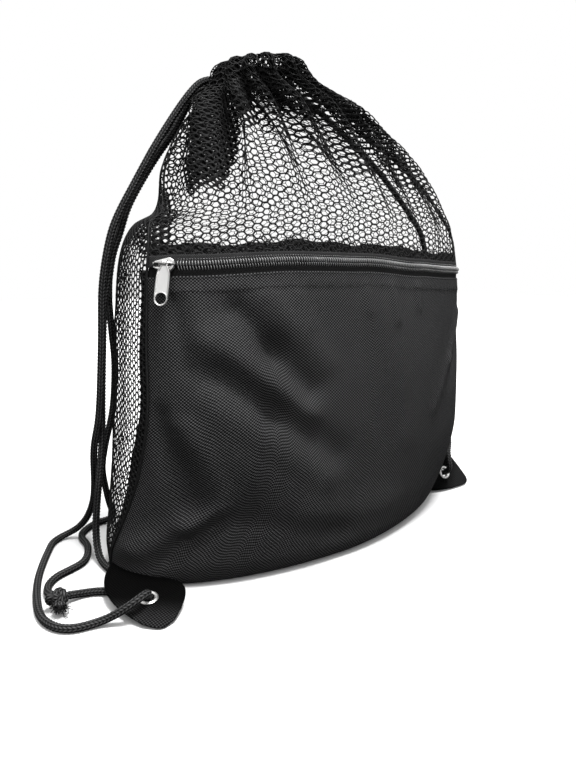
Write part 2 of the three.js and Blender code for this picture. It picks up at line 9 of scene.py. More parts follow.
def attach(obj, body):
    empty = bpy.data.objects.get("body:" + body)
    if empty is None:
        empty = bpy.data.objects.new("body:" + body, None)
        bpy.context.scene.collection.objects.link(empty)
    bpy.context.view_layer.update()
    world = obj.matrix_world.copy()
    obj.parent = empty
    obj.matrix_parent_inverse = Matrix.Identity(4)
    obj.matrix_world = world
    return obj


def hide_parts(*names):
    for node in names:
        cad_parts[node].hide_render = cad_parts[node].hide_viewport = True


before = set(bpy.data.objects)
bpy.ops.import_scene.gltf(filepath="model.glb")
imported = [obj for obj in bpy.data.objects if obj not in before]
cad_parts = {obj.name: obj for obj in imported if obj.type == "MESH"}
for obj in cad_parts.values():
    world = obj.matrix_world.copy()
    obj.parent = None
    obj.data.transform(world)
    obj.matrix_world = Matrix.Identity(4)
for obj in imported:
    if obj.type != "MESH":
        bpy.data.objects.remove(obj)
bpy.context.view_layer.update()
bagOrigin = np.array([0.01725, 0.0109, 0.0])  # of all routes and sections below, in the frame
rng = np.random.default_rng(11)

# Camera at the photo's viewpoint
cameraView = {
    "place": (-0.27375, -0.3811, 0.213),
    "lookDown": 11.2,  # degrees
    "turn": -33.0,
    "lens": 27.05,  # millimetres, as Blender's camera has it
    "sensor": 36.0,
}


def addCamera(view):
    data = bpy.data.cameras.new("camera")
    data.lens = view["lens"]
    data.sensor_width = view["sensor"]
    data.clip_start = 0.01
    camera = bpy.data.objects.new("camera", data)
    camera.location = view["place"]
    camera.rotation_euler = (math.radians(90 - view["lookDown"]), 0, math.radians(view["turn"]))
    bpy.context.collection.objects.link(camera)
    bpy.context.scene.camera = camera


addCamera(cameraView)
print("camera set")


# Mesh and object helpers
def addMesh(name, points, faces, material, uv=None, smooth=True):
    mesh = bpy.data.meshes.new(name)
    mesh.from_pydata([tuple(p) for p in points], [], [tuple(f) for f in faces])
    if uv is not None:
        layer = mesh.uv_layers.new(name="flat")
        flat = np.asarray(uv, dtype=np.float32)
        if len(flat) != len(mesh.loops):  # given by point, not by corner
            corners = np.zeros(len(mesh.loops), dtype=np.int32)
            mesh.loops.foreach_get("vertex_index", corners)
            flat = flat[corners]
        layer.data.foreach_set("uv", flat.ravel())
    mesh.polygons.foreach_set("use_smooth", np.full(len(mesh.polygons), smooth))
    mesh.materials.append(material)
    mesh.validate()
    mesh.update()
    obj = bpy.data.objects.new(name, mesh)
    bpy.context.collection.objects.link(obj)
    return obj


def settle(obj, slot, *nodes, body="bag"):
    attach(obj, body)
    if nodes:
        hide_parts(*nodes)
    return obj


def joinParts(parts):
    points, faces, start = [], [], 0
    for partPoints, partFaces in parts:
        points.extend(partPoints)
        faces.extend([tuple(i + start for i in face) for face in partFaces])
        start += len(partPoints)
    return np.array(points), faces


def gridFaces(rows, columns, closed=False):
    faces = []
    for i in range(rows - 1):
        for j in range(columns if closed else columns - 1):
            k = (j + 1) % columns
            faces.append((i * columns + j, i * columns + k, (i + 1) * columns + k, (i + 1) * columns + j))
    return faces


def unit(vectors):
    return vectors / np.maximum(np.linalg.norm(vectors, axis=-1, keepdims=True), 1e-12)


def smoothstep(value, low, high):
    t = np.clip((value - low) / (high - low), 0, 1)
    return t * t * (3 - 2 * t)


# Sum of waves, each with its height, turns and start
def waved(value, waves):
    return sum(high * np.sin(turns * value + start) for high, turns, start in waves)


# 1 inside a panel, falling to 0 at its two side seams
def betweenSeams(s, reach):
    return smoothstep(s, 0.0, reach) * smoothstep(1 - s, 0.0, reach)


# Shader helpers: a node with its inputs set or linked
def node(tree, kind, inputs=None, **settings):
    made = tree.nodes.new(kind)
    for name, value in settings.items():
        setattr(made, name, value)
    for key, value in (inputs or {}).items():
        if isinstance(value, bpy.types.NodeSocket):
            tree.links.new(value, made.inputs[key])
        else:
            made.inputs[key].default_value = value
    return made


def calc(tree, operation, first, second=0.0, third=0.0):
    return node(tree, "ShaderNodeMath", {0: first, 1: second, 2: third}, operation=operation).outputs[0]


def newGroup(name, inputs, outputs):
    tree = bpy.data.node_groups.new(name, "ShaderNodeTree")
    for label, kind, start in inputs:
        socket = tree.interface.new_socket(label, in_out="INPUT", socket_type=kind)
        if start is not None:
            socket.default_value = start
    for label, kind in outputs:
        tree.interface.new_socket(label, in_out="OUTPUT", socket_type=kind)
    return tree, tree.nodes.new("NodeGroupInput").outputs, tree.nodes.new("NodeGroupOutput")


def useGroup(tree, group, inputs):
    return node(tree, "ShaderNodeGroup", inputs, node_tree=group).outputs


# Plain weave: raised dots of warp and sunk dots of weft in a chequer, coloured pale on the raised dots as
# painted highlight and near black on the sunk ones as painted shade
def makeWeave():
    tree, given, out = newGroup(
        "weave",
        [("Vector", "NodeSocketVector", None), ("Warp", "NodeSocketFloat", 800.0),
         ("Weft", "NodeSocketFloat", 800.0), ("Irregular", "NodeSocketFloat", 0.25)],
        [("Height", "NodeSocketFloat"), ("Shade", "NodeSocketFloat")],
    )
    wander = node(tree, "ShaderNodeTexNoise", {"Vector": given["Vector"], "Scale": 260.0, "Detail": 2.0})
    sideways = calc(tree, "SUBTRACT", wander.outputs["Fac"], 0.5)
    sideways = calc(tree, "MULTIPLY", sideways, given["Irregular"])
    split = node(tree, "ShaderNodeSeparateXYZ", {0: given["Vector"]})
    waves = []
    for axis, threads in (("X", "Warp"), ("Y", "Weft")):
        turns = calc(tree, "MULTIPLY", split.outputs[axis], given[threads])
        turns = calc(tree, "ADD", turns, sideways)
        waves.append(calc(tree, "SINE", calc(tree, "MULTIPLY", turns, math.pi)))
    chequer = calc(tree, "MULTIPLY", waves[0], waves[1])
    shade = calc(tree, "MULTIPLY_ADD", chequer, 0.5, 0.5)
    tree.links.new(calc(tree, "POWER", shade, 2.0), out.inputs["Shade"])
    tree.links.new(shade, out.inputs["Height"])
    return tree


# Braid of a cord: columns of slanted stitches that meet in chevrons, coloured pale on the stitches' crests
# as painted highlight and near black in the grooves as painted shade
def makeBraid():
    tree, given, out = newGroup(
        "braid",
        [("Vector", "NodeSocketVector", None), ("Columns", "NodeSocketFloat", 5.0),
         ("Stitches", "NodeSocketFloat", 380.0), ("Slant", "NodeSocketFloat", 0.9)],
        [("Height", "NodeSocketFloat"), ("Shade", "NodeSocketFloat")],
    )
    split = node(tree, "ShaderNodeSeparateXYZ", {0: given["Vector"]})
    across = calc(tree, "FRACT", calc(tree, "MULTIPLY", split.outputs["X"], given["Columns"]))
    leg = calc(tree, "ABSOLUTE", calc(tree, "SUBTRACT", across, 0.5))
    slanted = calc(tree, "MULTIPLY", leg, calc(tree, "MULTIPLY", given["Slant"], 2.0))
    along = calc(tree, "ADD", calc(tree, "MULTIPLY", split.outputs["Y"], given["Stitches"]), slanted)
    stitch = calc(tree, "ABSOLUTE", calc(tree, "SINE", calc(tree, "MULTIPLY", along, math.pi)))
    groove = calc(tree, "SINE", calc(tree, "MULTIPLY", leg, 2 * math.pi))
    rounded = calc(tree, "POWER", calc(tree, "MAXIMUM", calc(tree, "MULTIPLY", stitch, groove), 0.0), 0.6)
    tree.links.new(rounded, out.inputs["Height"])
    tree.links.new(rounded, out.inputs["Shade"])
    return tree


# Uneven colour and fine fuzz, shared by all cloth
def makeGrain():
    tree, given, out = newGroup(
        "grain",
        [("Scale", "NodeSocketFloat", 60.0), ("Amount", "NodeSocketFloat", 0.3)],
        [("Factor", "NodeSocketFloat"), ("Fuzz", "NodeSocketFloat")],
    )
    place = node(tree, "ShaderNodeTexCoord").outputs["Object"]
    broad = node(tree, "ShaderNodeTexNoise", {"Vector": place, "Scale": given["Scale"], "Detail": 4.0})
    fine = node(tree, "ShaderNodeTexNoise", {"Vector": place, "Scale": 2600.0, "Detail": 2.0})
    swing = calc(tree, "MULTIPLY", calc(tree, "SUBTRACT", broad.outputs["Fac"], 0.5), given["Amount"])
    tree.links.new(calc(tree, "ADD", calc(tree, "MULTIPLY", swing, 2.0), 1.0), out.inputs["Factor"])
    tree.links.new(fine.outputs["Fac"], out.inputs["Fuzz"])
    return tree


# Bright rubbed edges and dull hollows of plated metal
def makeWear():
    tree, given, out = newGroup(
        "edge wear",
        [("Sharpness", "NodeSocketFloat", 14.0), ("Scratches", "NodeSocketFloat", 700.0)],
        [("Edge", "NodeSocketFloat"), ("Smudge", "NodeSocketFloat"), ("Height", "NodeSocketFloat")],
    )
    geometry = node(tree, "ShaderNodeNewGeometry")
    raised = calc(tree, "SUBTRACT", geometry.outputs["Pointiness"], 0.5)
    edge = node(tree, "ShaderNodeClamp", {0: calc(tree, "MULTIPLY", raised, given["Sharpness"])})
    place = node(tree, "ShaderNodeTexCoord").outputs["Object"]
    smudge = node(tree, "ShaderNodeTexNoise", {"Vector": place, "Scale": 420.0, "Detail": 5.0})
    stretched = node(tree, "ShaderNodeMapping", {"Vector": place, "Scale": (1.0, 1.0, 14.0)})
    scratch = node(tree, "ShaderNodeTexNoise",
                   {"Vector": stretched.outputs[0], "Scale": given["Scratches"], "Detail": 3.0})
    tree.links.new(edge.outputs[0], out.inputs["Edge"])
    tree.links.new(smudge.outputs["Fac"], out.inputs["Smudge"])
    tree.links.new(scratch.outputs["Fac"], out.inputs["Height"])
    return tree


weave, braid, grain, wear = makeWeave(), makeBraid(), makeGrain(), makeWear()


def newMaterial(name):
    material = bpy.data.materials.new(name)
    material.use_nodes = True
    tree = material.node_tree
    return material, tree, tree.nodes["Principled BSDF"]


def tinted(tree, dark, light, factor):
    colours = {0: factor, 6: (*dark, 1), 7: (*light, 1)}  # 6 and 7 are the Mix node's colours
    return node(tree, "ShaderNodeMix", colours, data_type="RGBA").outputs[2]


def bumped(tree, shader, height, distance, strength=1.0):
    bump = node(tree, "ShaderNodeBump", {"Height": height, "Distance": distance, "Strength": strength})
    tree.links.new(bump.outputs["Normal"], shader.inputs["Normal"])


fuzz = {"roughness": 0.12, "weave": 0.15, "braid": 0.2}  # share of the fine fuzz in each


# Woven cloth of pocket, tabs and tapes, by its flat coordinates in metres
def wovenMaterial(name, look):
    material, tree, shader = newMaterial(name)
    flat = node(tree, "ShaderNodeUVMap", uv_map="flat").outputs["UV"]
    threads = useGroup(tree, weave, {"Vector": flat, "Warp": look["warp"], "Weft": look["weft"]})
    uneven = useGroup(tree, grain, {"Scale": look["patches"], "Amount": look["unevenness"]})
    # colour from the weave's painted highlight and shade, times an uneven tone
    shade = calc(tree, "MULTIPLY", threads["Shade"], uneven["Factor"])
    if "paintedShade" in look:  # painted shade, darker towards one end, along the second flat coordinate
        start, stop, least = look["paintedShade"]
        along = node(tree, "ShaderNodeSeparateXYZ", {0: flat}).outputs["Y"]
        ends = {"Value": along, "From Min": start, "From Max": stop, "To Min": least}
        paintedShade = node(tree, "ShaderNodeMapRange", ends, interpolation_type="SMOOTHSTEP")
        shade = calc(tree, "MULTIPLY", shade, paintedShade.outputs[0])
    tree.links.new(tinted(tree, look["dark"], look["light"], shade), shader.inputs["Base Color"])
    rough = calc(tree, "MULTIPLY_ADD", uneven["Fuzz"], fuzz["roughness"], look["roughness"])
    tree.links.new(rough, shader.inputs["Roughness"])
    shader.inputs["Specular IOR Level"].default_value = look["gloss"]
    height = calc(tree, "ADD", threads["Height"], calc(tree, "MULTIPLY", uneven["Fuzz"], fuzz["weave"]))
    bumped(tree, shader, height, look["relief"])
    return material


# Yarn of the net, thread of the stitches and nylon of the zip
def yarnMaterial(name, look):
    material, tree, shader = newMaterial(name)
    uneven = useGroup(tree, grain, {"Scale": look["patches"], "Amount": look["unevenness"]})
    mixed = calc(tree, "MULTIPLY", uneven["Fuzz"], uneven["Factor"])
    tree.links.new(tinted(tree, look["dark"], look["light"], mixed), shader.inputs["Base Color"])
    shader.inputs["Roughness"].default_value = look["roughness"]
    shader.inputs["Specular IOR Level"].default_value = look["gloss"]
    bumped(tree, shader, uneven["Fuzz"], look["relief"])
    return material


# Plaited cord, by its flat coordinates: once round and metres along
def cordMaterial(name, look):
    material, tree, shader = newMaterial(name)
    flat = node(tree, "ShaderNodeUVMap", uv_map="flat").outputs["UV"]
    plait = useGroup(tree, braid, {"Vector": flat, "Columns": look["columns"],
                                   "Stitches": look["stitches"], "Slant": look["slant"]})
    uneven = useGroup(tree, grain, {"Scale": look["patches"], "Amount": look["unevenness"]})
    # colour from the braid's painted highlight and shade, deepened, times an uneven tone
    shade = calc(tree, "MULTIPLY", calc(tree, "POWER", plait["Shade"], 2.0), uneven["Factor"])
    tree.links.new(tinted(tree, look["dark"], look["light"], shade), shader.inputs["Base Color"])
    shader.inputs["Roughness"].default_value = look["roughness"]
    shader.inputs["Specular IOR Level"].default_value = look["gloss"]
    height = calc(tree, "ADD", plait["Height"], calc(tree, "MULTIPLY", uneven["Fuzz"], fuzz["braid"]))
    bumped(tree, shader, height, look["relief"])
    return material


# Plated metal with rubbed edges and smudges
def metalMaterial(name, look):
    material, tree, shader = newMaterial(name)
    worn = useGroup(tree, wear, {"Sharpness": look["wear"]})
    shine = calc(tree, "ADD", worn["Edge"], look["shine"])
    tree.links.new(tinted(tree, look["dull"], look["bright"], shine), shader.inputs["Base Color"])
    rough = calc(tree, "MULTIPLY_ADD", worn["Smudge"], look["smudge"], look["roughness"])
    tree.links.new(rough, shader.inputs["Roughness"])
    shader.inputs["Metallic"].default_value = 1.0
    bumped(tree, shader, worn["Height"], look["scratchDepth"], look["scratchStrength"])
    return material


# Drawstrings
cords = {
    "diameter": 0.005,
    "sides": 18,
    "step": 0.00045,
    "relief": 0.0007,  # of the braid's stitches
    "neckMiddle": (-0.057, 0.008),
    "ringRadius": 0.024,
    "ringTilt": 0.1,  # rise per metre of X
    "soften": 0.004,
    "stitchCrest": 0.6,  # power that rounds a stitch, and the height that lies on the cord's radius
    "look": {
        "columns": 4, "stitches": 400, "slant": 0.9, "dark": (0.0004, 0.0004, 0.0004),
        "light": (0.09, 0.09, 0.091), "patches": 90, "unevenness": 0.35, "roughness": 0.5, "gloss": 0.08,
        "relief": 0.0002,
    },
}
# From the left knot along the floor, up through its eyelet, round a loop and up to the neck
leftRise = [
    (-0.224, -0.0275, 0.005), (-0.215, -0.026, 0.0028), (-0.206, -0.029, 0.0028),
    (-0.1965, -0.037, 0.0028), (-0.1895, -0.0465, 0.0028), (-0.1856, -0.0562, 0.0031),
    (-0.1843, -0.0617, 0.0047), (-0.1838, -0.0636, 0.0086), (-0.1839, -0.0658, 0.0124),
    (-0.1857, -0.0689, 0.015), (-0.1894, -0.0721, 0.0162), (-0.1948, -0.0736, 0.0148),
    (-0.2003, -0.0726, 0.0118), (-0.2056, -0.0695, 0.0078), (-0.2115, -0.0662, 0.0044),
    (-0.2195, -0.064, 0.0028), (-0.229, -0.063, 0.0028), (-0.237, -0.0575, 0.0028),
    (-0.242, -0.048, 0.0028), (-0.244, -0.036, 0.0028), (-0.238, 0.005, 0.0028), (-0.222, 0.05, 0.0028),
    (-0.215, 0.064, 0.0028), (-0.206, 0.069, 0.0034), (-0.197, 0.063, 0.0095), (-0.191, 0.054, 0.021),
    (-0.188, 0.044, 0.038), (-0.1885, 0.035, 0.054), (-0.1895, 0.0245, 0.086), (-0.186, 0.02, 0.108),
    (-0.181, 0.02, 0.158), (-0.177, 0.02, 0.206), (-0.169, 0.02, 0.239), (-0.163, 0.02, 0.252),
    (-0.153, 0.02, 0.269), (-0.132, 0.02, 0.303), (-0.106, 0.022, 0.338), (-0.0965, 0.0223, 0.347),
    (-0.088, 0.0212, 0.3493), (-0.0824, 0.017, 0.3488),
]
# From the neck down behind the left edge to the floor and forward to the left knot
leftFall = [
    (-0.0754, 0.0268, 0.3492), (-0.084, 0.0278, 0.3486), (-0.093, 0.0316, 0.345),
    (-0.102, 0.0355, 0.335), (-0.113, 0.038, 0.321), (-0.131, 0.041, 0.297), (-0.151, 0.045, 0.253),
    (-0.163, 0.045, 0.22), (-0.166, 0.046, 0.196), (-0.165, 0.048, 0.168), (-0.163, 0.052, 0.143),
    (-0.166, 0.055, 0.104), (-0.173, 0.056, 0.077), (-0.176, 0.058, 0.058), (-0.174, 0.061, 0.042),
    (-0.17, 0.066, 0.023), (-0.1655, 0.073, 0.009), (-0.167, 0.08, 0.0032), (-0.176, 0.0805, 0.0028),
    (-0.187, 0.0735, 0.0028), (-0.194, 0.065, 0.0028), (-0.196, 0.055, 0.0028), (-0.195, 0.044, 0.0028),
    (-0.1975, 0.031, 0.0028), (-0.204, 0.017, 0.0028), (-0.215, 0.0105, 0.0028),
    (-0.226, 0.0055, 0.0028), (-0.233, -0.004, 0.0028), (-0.235, -0.015, 0.0036),
    (-0.2335, -0.0235, 0.006),
]
# From the right knot through its eyelet and up the right side to the neck
rightRise = [
    (0.1346, -0.011, 0.0112), (0.1326, -0.0158, 0.0144), (0.1321, -0.0222, 0.0172),
    (0.1316, -0.028, 0.0204), (0.1298, -0.0314, 0.0254), (0.1288, -0.031, 0.032),
    (0.131, -0.0266, 0.04), (0.139, -0.0205, 0.047), (0.1465, -0.01, 0.056), (0.1515, 0.001, 0.068),
    (0.1525, 0.012, 0.085), (0.151, 0.021, 0.105), (0.1495, 0.028, 0.128), (0.1495, 0.031, 0.16),
    (0.15, 0.0295, 0.195), (0.149, 0.0295, 0.216), (0.1405, 0.03, 0.246), (0.124, 0.031, 0.2655),
    (0.105, 0.032, 0.284), (0.08, 0.032, 0.3045), (0.052, 0.032, 0.3225), (0.026, 0.031, 0.3375),
    (0.003, 0.029, 0.348), (-0.0125, 0.0245, 0.352), (-0.0225, 0.0192, 0.3503),
    (-0.0294, 0.014, 0.3478), (-0.0326, 0.0086, 0.3465),
]
# From the neck down the left side to the foot of the left tab
rightFall = [
    (-0.084, 0.0205, 0.3415), (-0.093, 0.026, 0.3425), (-0.102, 0.0283, 0.336), (-0.117, 0.027, 0.312),
    (-0.131, 0.026, 0.294), (-0.14, 0.026, 0.281), (-0.155, 0.026, 0.256), (-0.162, 0.026, 0.237),
    (-0.167, 0.026, 0.225), (-0.171, 0.026, 0.207), (-0.176, 0.026, 0.183), (-0.179, 0.026, 0.15),
    (-0.1815, 0.026, 0.116), (-0.1838, 0.024, 0.088), (-0.1875, 0.021, 0.067), (-0.1905, 0.021, 0.047),
    (-0.1923, 0.0225, 0.028), (-0.193, 0.0215, 0.014), (-0.1934, 0.0155, 0.0054),
    (-0.193, 0.008, 0.0029), (-0.192, -0.001, 0.0028), (-0.1902, -0.01, 0.0029),
]


# Part of a ring inside the neck's hem
def ringPoints(height, fromAngle, toAngle, count):
    angle = np.radians(np.linspace(fromAngle, toAngle, count + 1))
    x = cords["neckMiddle"][0] + cords["ringRadius"] * np.cos(angle)
    y = cords["neckMiddle"][1] + cords["ringRadius"] * np.sin(angle)
    return list(zip(x, y, height + cords["ringTilt"] * (x - cords["neckMiddle"][0])))


# Slope at the middle of three points that are uneven gaps apart
def slopeAt(first, middle, last, before, after):
    return (middle - first) / before - (last - first) / (before + after) + (last - middle) / after


# Smooth line through given points, in even steps
def smoothLine(points, step, soften):
    p = np.array(points, dtype=float)
    p = np.vstack([2 * p[0] - p[1], p, 2 * p[-1] - p[-2]])
    gaps = np.sqrt(np.linalg.norm(np.diff(p, axis=0), axis=1))
    t = np.linspace(0, 1, 24, endpoint=False)[:, None]
    line = []
    for i in range(1, len(p) - 2):
        before, here, after = gaps[i - 1], gaps[i], gaps[i + 1]
        leave = slopeAt(p[i - 1], p[i], p[i + 1], before, here)
        reach = slopeAt(p[i], p[i + 1], p[i + 2], here, after)
        leave, reach = leave * here, reach * here
        bend = -3 * p[i] + 3 * p[i + 1] - 2 * leave - reach
        turn = 2 * p[i] - 2 * p[i + 1] + leave + reach
        line.append(p[i] + leave * t + bend * t ** 2 + turn * t ** 3)
    line = np.vstack(line + [p[-2]])
    line = evenly(line, step)
    reachSteps = int(3 * soften / step)
    if reachSteps:
        weight = np.exp(-0.5 * (np.arange(-reachSteps, reachSteps + 1) * step / soften) ** 2)
        padded = np.vstack([2 * line[0] - line[reachSteps:0:-1], line,
                            2 * line[-1] - line[-2:-reachSteps - 2:-1]])
        line = np.array([np.convolve(padded[:, k], weight / weight.sum(), "valid") for k in range(3)]).T
    return line


def lengthsAlong(line):
    return np.concatenate([[0], np.cumsum(np.linalg.norm(np.diff(line, axis=0), axis=1))])


def atLengths(at, lengths, values):
    return np.array([np.interp(at, lengths, values[:, k]) for k in range(3)]).T


def evenly(line, step):
    lengths = lengthsAlong(line)
    at = np.linspace(0, lengths[-1], max(2, int(round(lengths[-1] / step)) + 1))
    return atLengths(at, lengths, line)


anySide = (0.13, 0.21, 0.97)  # along no line's start


# Closed tube along a line, with flat coordinates of its corners: once round and metres along
def tube(line, radius, sides, relief=None):
    tangent = unit(np.gradient(line, axis=0))
    side = np.zeros_like(line)
    turned = unit(np.cross(tangent[0], anySide))
    for i, direction in enumerate(tangent):
        turned = unit(turned - direction * (turned @ direction))
        side[i] = turned
    other = np.cross(tangent, side)
    angle = np.arange(sides) * 2 * np.pi / sides
    ring = np.cos(angle)[:, None] * side[:, None] + np.sin(angle)[:, None] * other[:, None]
    along = lengthsAlong(line)
    u, v = np.meshgrid(angle / (2 * np.pi), along)
    reach = np.broadcast_to(np.reshape(radius, (-1, 1)), u.shape)
    if relief:
        reach = reach + relief(u, v)
    points = (line[:, None] + ring * reach[..., None]).reshape(-1, 3)
    faces = gridFaces(len(line), sides, closed=True)
    low, left = np.divmod(np.arange((len(line) - 1) * sides), sides)
    roundAt = np.stack([left, left + 1, left + 1, left], axis=1) / sides
    alongAt = along[np.stack([low, low, low + 1, low + 1], axis=1)]
    uv = np.stack([roundAt, alongAt], axis=-1).reshape(-1, 2)
    last = (len(line) - 1) * sides
    faces += [tuple(range(sides - 1, -1, -1)), tuple(range(last, last + sides))]
    ends = np.repeat([[0.5, along[0]], [0.5, along[-1]]], sides, axis=0)
    return points, faces, np.vstack([uv, ends])


def braidRelief(u, v):
    look = cords["look"]
    leg = np.abs((u * look["columns"]) % 1 - 0.5)
    stitch = np.abs(np.sin(np.pi * (v * look["stitches"] + 2 * look["slant"] * leg)))
    height = np.maximum(stitch * np.sin(2 * np.pi * leg), 0) ** cords["stitchCrest"]
    return (height - cords["stitchCrest"]) * cords["relief"]


braidBlack = cordMaterial("braid_black", cords["look"])


def addCord(name, route, cadNode):
    line = smoothLine(route, cords["step"], cords["soften"]) + bagOrigin
    points, faces, uv = tube(line, cords["diameter"] / 2, cords["sides"], braidRelief)
    obj = settle(addMesh(name, points, faces, braidBlack, uv), "cord", cadNode)
    return obj, line, float(lengthsAlong(line)[-1])


# Each cord's way round the neck: height, and angles in degrees
leftRoute = leftRise + ringPoints(0.351, 172, 478, 12) + leftFall
rightRoute = rightRise + ringPoints(0.344, -8, -186, 7) + rightFall
cordLeft, cordLeftLine, cordLeftLength = addCord("braided_cord_left", leftRoute, "cord_left")
cordRight, cordRightLine, cordRightLength = addCord("braided_cord_right", rightRoute, "cord_right")
print(f"cords {cordLeftLength:.3f} and {cordRightLength:.3f} m")

# Outline of the bag at each height, from the bottom seam over the hem and down inside the neck
sectionColumns = (
    "z", "left", "right", "front", "back", "mid", "seamL", "seamR", "roundL", "roundR", "tilt", "gather",
)
sectionRows = np.array([
    (0.0006, -0.182, 0.117, -0.0002, 0.0002, 0, 0, 0, 2, 2, 0, 0),
    (0.0006, -0.187, 0.121, -0.067, 0.048, 0, 0, 0, 2.2, 1.6, 0, 0),
    (0.005, -0.189, 0.124, -0.075, 0.055, 0, -0.001, -0.002, 2.2, 1.65, 0, 0),
    (0.016, -0.189, 0.131, -0.079, 0.06, 0.002, -0.005, -0.005, 2.3, 1.7, 0, 0),
    (0.04, -0.185, 0.141, -0.08, 0.064, 0.005, -0.015, -0.008, 2.4, 1.85, 0, 0),
    (0.08, -0.178, 0.148, -0.081, 0.067, 0.008, -0.028, -0.01, 2.8, 2, 0, 0),
    (0.12, -0.174, 0.149, -0.079, 0.068, 0.01, -0.033, -0.012, 3, 2, 0, 0),
    (0.16, -0.171, 0.15, -0.074, 0.068, 0.012, -0.029, -0.013, 3, 2, 0, 0),
    (0.19, -0.168, 0.151, -0.068, 0.067, 0.012, -0.025, -0.014, 2.9, 2, 0, 0),
    (0.213, -0.166, 0.151, -0.062, 0.065, 0.012, -0.022, -0.015, 2.8, 2, 0, 0.0003),
    (0.232, -0.162, 0.149, -0.058, 0.062, 0.012, -0.017, -0.012, 2.6, 2, 0, 0.0008),
    (0.244, -0.155, 0.145, -0.056, 0.059, 0.012, -0.01, -0.009, 2.5, 2, 0, 0.0012),
    (0.252, -0.141, 0.14, -0.054, 0.057, 0.012, -0.002, -0.006, 2.4, 2, 0, 0.0015),
    (0.262, -0.135, 0.132, -0.051, 0.055, 0.012, 0.006, -0.003, 2.3, 2, 0, 0.0019),
    (0.28, -0.131, 0.116, -0.046, 0.052, 0.012, 0.013, 0.002, 2.2, 2, 0, 0.0026),
    (0.3, -0.122, 0.092, -0.04, 0.05, 0.011, 0.018, 0.008, 2.1, 2, 0, 0.0032),
    (0.318, -0.112, 0.064, -0.034, 0.048, 0.01, 0.022, 0.014, 2, 2, 0, 0.0038),
    (0.331, -0.103, 0.036, -0.03, 0.046, 0.009, 0.025, 0.018, 2, 2, 0.02, 0.0043),
    (0.34, -0.096, 0.008, -0.027, 0.043, 0.008, 0.026, 0.02, 2, 2, 0.05, 0.0045),
    (0.3465, -0.091, -0.014, -0.025, 0.041, 0.008, 0.026, 0.02, 2, 2, 0.08, 0.0045),
    (0.354, -0.09, -0.024, -0.025, 0.041, 0.008, 0.025, 0.02, 2, 2, 0.1, 0.0045),
    (0.36, -0.086, -0.028, -0.021, 0.037, 0.008, 0.022, 0.018, 2, 2, 0.1, 0.0035),
    (0.3618, -0.081, -0.033, -0.016, 0.032, 0.008, 0.019, 0.016, 2, 2, 0.1, 0.0015),
    (0.3593, -0.0765, -0.0375, -0.0115, 0.0275, 0.008, 0.017, 0.014, 2, 2, 0.1, 0.002),
    (0.351, -0.074, -0.04, -0.009, 0.025, 0.008, 0.016, 0.013, 2, 2, 0.1, 0.003),
    (0.34, -0.074, -0.04, -0.009, 0.025, 0.008, 0.016, 0.013, 2, 2, 0.1, 0.003),
])
lastLevel = len(sectionRows) - 1
crestRow = 22  # top of the hem
bag = {
    "zipHeight": 0.213,
    "rowHeightAtZip": 0.021,
    "zipRiseReach": 2.5,  # section rows
    "frontGathers": 9,
    "backGathers": 5,
    "gatherWander": [(0.012, 6 * math.pi, 0.0)],
    "hemStart": 0.338,
    "mouthWidth": 0.009,
    "seamGap": 0.0004,
    "upperTape": 0.0058,
    "lowerTape": 0.0094,
    "pocketOverlap": 0.0022,
    "pleats": {
        "from": 0.236, "full": 0.322, "to": 0.331, "end": 0.341, "depth": 0.0042, "ease": 1.5,
        "wander": [(0.016, 17, 0.7), (0.008, 41, 0.0)], "clearOfSeams": 0.07,
    },
    # Folds die out at the side seams, by share of the width, and under the zip and at the floor
    "foldsHeld": {"seams": 0.04, "zip": (0.004, 0.016), "floor": 0.02},
}
probe = {"angle": 1e-4, "share": 0.003, "level": 0.02}  # steps that give directions on the cloth
# Rise of the zip's line above its even height, along its length
zipRise = np.array([(0, 0.002), (0.08, 0.003), (0.32, 0.0062), (0.5, 0.0056), (0.68, 0.002), (0.82, 0.0004),
                    (1, -0.0004)])
# Folds and dents of the pocket cloth: from X and Z to X and Z, width, depth outward
folds = [
    (-0.092, 0.196, -0.052, 0.150, 0.0090, 0.0020),
    (-0.114, 0.186, -0.092, 0.160, 0.0095, -0.0054),
    (-0.092, 0.160, -0.068, 0.132, 0.0105, -0.0062),
    (-0.131, 0.168, -0.070, 0.118, 0.0100, 0.0042),
    (-0.129, 0.146, -0.094, 0.119, 0.0085, -0.0044),
    (-0.094, 0.119, -0.046, 0.084, 0.0110, -0.0040),
    (-0.139, 0.131, -0.058, 0.070, 0.0110, 0.0030),
    (-0.140, 0.106, -0.068, 0.052, 0.0220, 0.0044),
    (-0.166, 0.119, -0.150, 0.064, 0.0075, -0.0046),
    (-0.150, 0.114, -0.132, 0.068, 0.0070, 0.0022),
    (-0.132, 0.057, -0.152, 0.046, 0.0065, 0.0038),
    (-0.152, 0.046, -0.180, 0.025, 0.0080, 0.0030),
    (-0.134, 0.044, -0.154, 0.032, 0.0060, -0.0032),
    (-0.154, 0.032, -0.176, 0.014, 0.0060, -0.0022),
    (-0.128, 0.050, -0.040, 0.024, 0.0090, -0.0022),
    (-0.100, 0.040, 0.010, 0.036, 0.0120, 0.0016),
    (0.120, 0.176, 0.088, 0.138, 0.0050, 0.0018),
    (0.088, 0.138, 0.060, 0.102, 0.0060, 0.0014),
    (0.130, 0.172, 0.096, 0.122, 0.0080, -0.0018),
    (-0.012, 0.202, -0.012, 0.184, 0.0040, 0.0016),
    (0.014, 0.202, 0.016, 0.176, 0.0045, 0.0022),
    (0.044, 0.201, 0.044, 0.184, 0.0040, 0.0016),
    (0.000, 0.180, 0.026, 0.090, 0.0180, 0.0018),
    (-0.070, 0.196, -0.064, 0.176, 0.0060, 0.0014),
    (-0.140, 0.196, -0.136, 0.160, 0.0070, 0.0014),
    (-0.150, 0.192, -0.148, 0.150, 0.0050, -0.0014),
]

